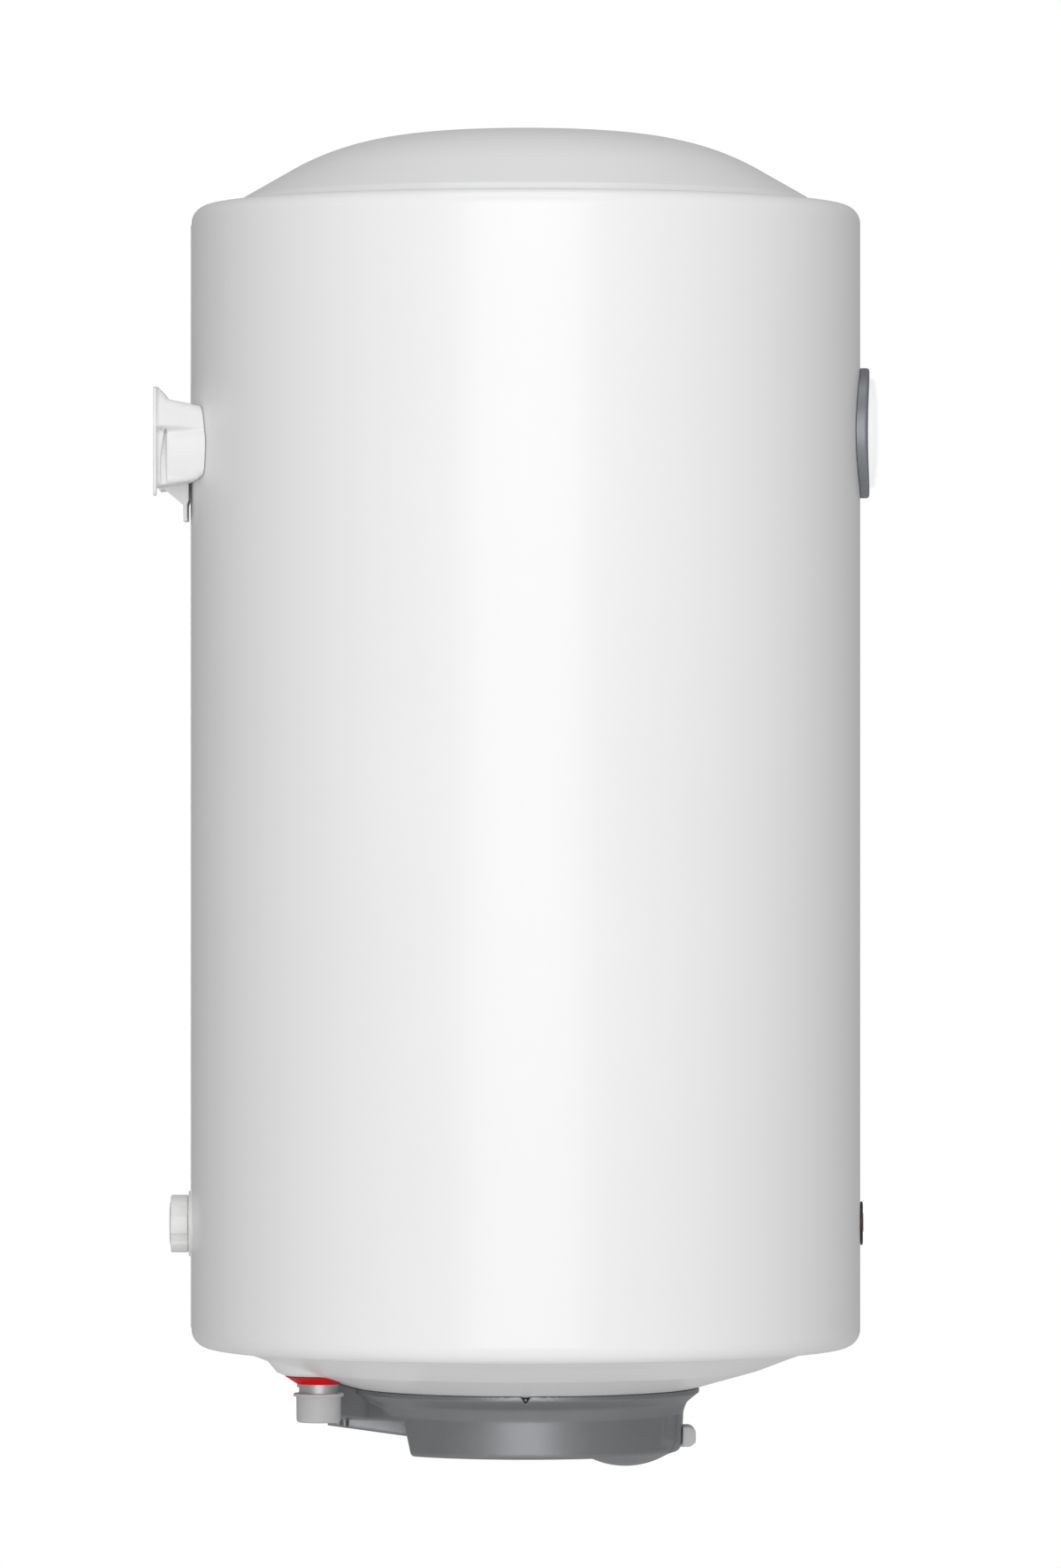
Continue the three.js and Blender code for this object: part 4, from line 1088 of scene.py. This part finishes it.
PLATE_LOW, PLATE_HIGH = corners("wall_bracket")
PLATE_HALF_WIDTH = PLATE_HIGH.x
PLATE_ARCH, PLATE_EAR = -27, 16
PLATE_SHEET = 2.0
PAN_HALF_WIDTH, PAN_STEP = 72, 9
WINDOW_X, WINDOW_Z, WINDOW_ROUND = (24, 64), (-16, 14), 3
GROOVE_EDGE, GROOVE_TOP = -8.3, 9.5
STRAP_HALF = half_width("bracket_base")
BRACKET_STEP = 0.6


def slab(value, low, high):
    """Distance to the space between two levels."""
    return np.maximum(low - value, value - high)


def wall_bracket():
    """A pressed bracket: a flat plate and a deep-drawn pan, wider in its lower pocket."""
    side = tabled(polygon_field(rounded([
        (8, 36.3), (-3, 36.2, 0.6), (-9.5, 28.7, 2), (-24.8, 25.7), (-30, 24.6, 3), (-33, 22.6, 2), (-45, 18),
        (-45, -18), (-31, -22, 3), (-27.9, -24.1, 2), (-22.5, -25.4), (-10.8, -27.1), (8, -30.2),
    ])), (-60, -60), (20, 60))
    ear = PLATE_LOW.x + PLATE_EAR
    face = tabled(polygon_field(rounded([
        (PLATE_LOW.x, PLATE_LOW.z, 5), (ear, PLATE_LOW.z, 5), (ear, PLATE_ARCH, 6),
        (PLATE_HIGH.x, PLATE_ARCH, 5), (PLATE_HIGH.x, PLATE_HIGH.z, 5), (PLATE_LOW.x, PLATE_HIGH.z, 5),
    ])), (-100, -60), (100, 60))

    def field(x, y, z):
        plate = np.maximum(face(x, z), slab(y, -PLATE_SHEET, 0))
        step = np.clip((z - PAN_STEP + 2.5) / 5, 0, 1)
        pocket = PAN_HALF_WIDTH - 3.5 * np.clip((2 - z) / 24, 0, 1) ** 2
        pocket = pocket - 2.5 * np.clip((z - 1) / 8, 0, 1) ** 2
        gusset = PLATE_HALF_WIDTH - 14 * np.clip((-PLATE_SHEET - y) / 31, 0, 1) ** 0.8
        gusset = gusset - 0.35 * np.maximum(z - PAN_STEP, 0)
        half = pocket + (gusset - pocket) * step * step * (3 - 2 * step)
        depth = SHELL_RADIUS + 0.4 - np.hypot(x, y - AXIS.y)
        pan = soft_max(soft_max(side(y, z), np.abs(x) - half, 5), depth, 0.8)
        arch = GROOVE_EDGE + 3.8 * np.sqrt(np.clip((GROOVE_TOP - z) / 20, 0, 1))
        groove = np.maximum(slab(y, GROOVE_EDGE, arch), np.maximum(z - GROOVE_TOP, 66 - np.abs(x)))
        pan = soft_max(pan, -groove, 1.0)
        skin = np.maximum(pan, -(pan + PLATE_SHEET))
        skin = np.maximum(skin, y)
        opening = np.maximum(slab(np.abs(x), *WINDOW_X), slab(z, *WINDOW_Z)) + WINDOW_ROUND
        opening = np.maximum(opening, -6 - y) - WINDOW_ROUND
        strap = np.maximum(np.maximum(np.abs(x) - STRAP_HALF - 0.5, slab(y, -28.5, 1)), slab(z, -40, -20))
        body = soft_min(plate, skin, 2.5)
        body = np.maximum(body, np.maximum(y, -opening))
        return np.maximum(body, -strap)

    return skin_of(field, *corners("wall_bracket"), BRACKET_STEP)


def bracket_base():
    """The strap bolted to the tank, folded to carry the bracket, with a triangular web at each end."""
    low, high = from_axis("bracket_base")
    outline = rounded([
        (-17.7, high.z), (-20.2, high.z), (-20.2, low.z), (-17.7, low.z), (-17.7, -43.2, 0.8),
        (-0.9, -29.2, 0.4), (-0.9, -26.6, 0.4), (-2.3, -26.6, 0.6), (-17.7, -39.6, 1),
    ])
    web = rounded([
        (-1.4, -29.5, 0.4), (-17.8, -43, 0.4), (-20.2, -43, 0.4), (-21.3, -39.6, 1), (-21.3, -24.5, 0.4),
        (-1.4, -24.5, 0.4),
    ])
    shape = across(outline, high.x)
    for side in (-1, 1):
        plate = moved(across(web, 1), x=side * (high.x - 1))
        shape = combined(shape, plate, "UNION")
    return moved(bevelled(shape, 0.3), z=AXIS.z)


def hex_bolt(node):
    """A hexagon bolt with a chamfered head and a washer face, drawn along +Y."""
    low, high = corners(node)
    place = middle(node)
    length = high.y - low.y
    head = lathe([(0, length - 5), (7.3, length - 5), (7.3, length), (0, length)], 6)
    chamfer = [(0, length - 5.2), (8.2, length - 4), (8.2, length - 1.2), (6.4, length), (0, length)]
    head = combined(head, lathe(chamfer, FINE), "INTERSECT")
    shank = lathe(rounded([(0, 0), (4, 0, 0.6), (4, length - 4.5), (0, length - 4.5)]), 48)
    turned = Matrix.Translation((place.x, low.y, place.z)) @ Matrix.Rotation(-math.pi / 2, 4, "X")
    return placed(together(head, shank), turned)


make("bracket", wall_bracket(), "white_steel", replaces=["wall_bracket"], sharp=math.radians(60))
make("strap", bracket_base(), "white_steel", replaces=["bracket_base"])
for node in ("bracket_bolt_1", "bracket_bolt_2"):
    make(node.replace("bracket_bolt", "strap_bolt"), hex_bolt(node), "zinc", replaces=[node])

# ---------------------------------------------------------------- lower spacer

SOCKET_RADIUS = half_width("spacer_socket")
SOCKET_FACE = back_of("spacer_socket")
SPACER_RADIUS = half_width("spacer_knob")
SPACER_BACK = SOCKET_FACE + 0.3
PAD_BACK = back_of("spacer_knob")
PAD_FRONT = back_of("spacer_pad")
RIBS = 6
RIB_GROOVE = 2.4
STEM_HOLE, PAD_HOLE, PAD_RECESS = 6.4, 16, 2.2


def spacer_socket():
    return lathe(rounded([
        (STEM_HOLE, 201), (9, 201), (9, 216), (SOCKET_RADIUS, 216), (SOCKET_RADIUS, SOCKET_FACE, 0.6),
        (STEM_HOLE, SOCKET_FACE, 0.4),
    ]))


def spacer_knob():
    """A knob with six wide ribs, shallow grooves between them and rounded ends."""
    turns = np.linspace(0, TAU, 360, endpoint=False)
    phase = np.abs(((turns * RIBS / TAU + 0.5) % 1) - 0.5) * 360 / RIBS
    groove = np.clip((phase - 17) / 2.2, 0, 1)
    groove = groove * groove * (3 - 2 * groove)
    top = PAD_BACK
    rows = [
        (10, SPACER_BACK, 0), (18.6, SPACER_BACK, 0.9), (19.3, SPACER_BACK + 0.25, 1),
        (SPACER_RADIUS, SPACER_BACK + 0.9, 1), (SPACER_RADIUS, top - 0.8, 1), (19.3, top - 0.25, 1),
        (18.7, top, 1), (PAD_HOLE + 0.4, top, 0.2), (PAD_HOLE, top - 0.3, 0), (PAD_HOLE, top - PAD_RECESS, 0),
        (10, top - PAD_RECESS, 0),
    ]
    outer = [ring(radius - RIB_GROOVE * groove * share, height, turns) for radius, height, share in rows]
    inner = [ring(STEM_HOLE, height, turns) for _, height, _ in rows]
    body = sheet_grid(np.array(outer), np.array(inner))
    stem = lathe(rounded([(0, 204), (6, 204, 0.6), (6, SPACER_BACK + 4), (0, SPACER_BACK + 4)]), 64)
    return together(body, stem)


def spacer_pad():
    seat = PAD_BACK - 1.7
    return lathe(rounded([
        (0, seat - 2.7), (6, seat - 2.7), (6, seat, 0.3), (15.5, seat, 0.5), (15.5, PAD_FRONT - 0.9, 0.4),
        (13.5, PAD_FRONT, 0.9), (9, PAD_FRONT, 0.3), (8.6, PAD_FRONT - 0.5, 0.3), (0, PAD_FRONT - 0.5),
    ]))


make("socket", placed(spacer_socket(), back(SPACER)), "white_plastic", replaces=["spacer_socket"])
make("spacer", placed(spacer_knob(), back(SPACER)), "white_plastic", "spacer_screw", ["spacer_knob"])
make("spacer_foot", placed(spacer_pad(), back(SPACER)), "white_plastic", "spacer_carriage", ["spacer_pad"])


# ---------------------------------------------------------------- studio

CAMERA_DISTANCE = 6.675
CAMERA_DROP = -0.2283
CAMERA_OFFSET = -0.0031
FLOOR_HEIGHT = -2.0
WORLD_LIGHT = 0.35
HEATER = (0, -0.2483, -0.22)


def studio():
    """The camera, and a world that lights softly but is seen as plain white."""
    scene = bpy.context.scene
    scene.view_settings.view_transform = "Standard"
    camera = link(bpy.data.objects.new("camera", bpy.data.cameras.new("camera")))
    camera.data.lens = 230.2
    camera.data.clip_end = 60
    camera.location = (-CAMERA_DISTANCE, AXIS.y * MM + CAMERA_OFFSET, AXIS.z * MM + CAMERA_DROP)
    camera.rotation_euler = (math.pi / 2, 0, -math.pi / 2)
    scene.camera = camera

    world = bpy.data.worlds.new("studio")
    world.use_nodes = True
    scene.world = world
    tree = world.node_tree
    glow = tree.nodes["Background"]
    glow.inputs["Color"].default_value = (1, 1, 1, 1)
    glow.inputs["Strength"].default_value = WORLD_LIGHT
    plain = tree.nodes.new("ShaderNodeBackground")
    plain.inputs["Color"].default_value = (1, 1, 1, 1)
    plain.inputs["Strength"].default_value = 1.0
    seen = tree.nodes.new("ShaderNodeLightPath")
    choice = tree.nodes.new("ShaderNodeMixShader")
    tree.links.new(seen.outputs["Is Camera Ray"], choice.inputs["Fac"])
    tree.links.new(glow.outputs["Background"], choice.inputs[1])
    tree.links.new(plain.outputs["Background"], choice.inputs[2])
    tree.links.new(choice.outputs["Shader"], tree.nodes["World Output"].inputs["Surface"])


def panel(name, place, size, power, target=HEATER):
    """A soft rectangular light that faces the heater."""
    light = bpy.data.lights.new(name, "AREA")
    light.shape = "RECTANGLE"
    light.size, light.size_y = size
    light.energy = power
    lamp = link(bpy.data.objects.new(name, light))
    lamp.location = place
    lamp.rotation_euler = (Vector(target) - Vector(place)).to_track_quat("-Z", "Y").to_euler()


def floor():
    """A wide pale disc far below the heater."""
    mesh = mesh_of(lathe(rounded([(0, -40), (14990, -40), (15000, 0, 20), (0, 0)]), SMOOTH), "floor")
    finish = Finish("floor", (0.8, 0.8, 0.8), 0.8, **{"Emission Color": (1, 1, 1, 1)})
    finish.tint(finish.noise(900, 2), 0.98, 1.0)
    strength = finish.node("ShaderNodeMapRange", To_Min=0.14, To_Max=0.8)
    seen = finish.node("ShaderNodeLightPath")
    finish.link(seen.outputs["Is Camera Ray"], strength.inputs["Value"])
    finish.link(strength.outputs["Result"], finish.shader.inputs["Emission Strength"])
    mesh.materials.append(finish.material)
    disc = link(bpy.data.objects.new("floor", mesh))
    disc.location.z = FLOOR_HEIGHT


studio()
panel("key", (-3.2, -0.25, 0.3), (2.4, 3.0), 62)
panel("top", (-0.6, -0.25, 3.2), (2.0, 2.0), 23, (0, -0.2483, 0.2))
floor()
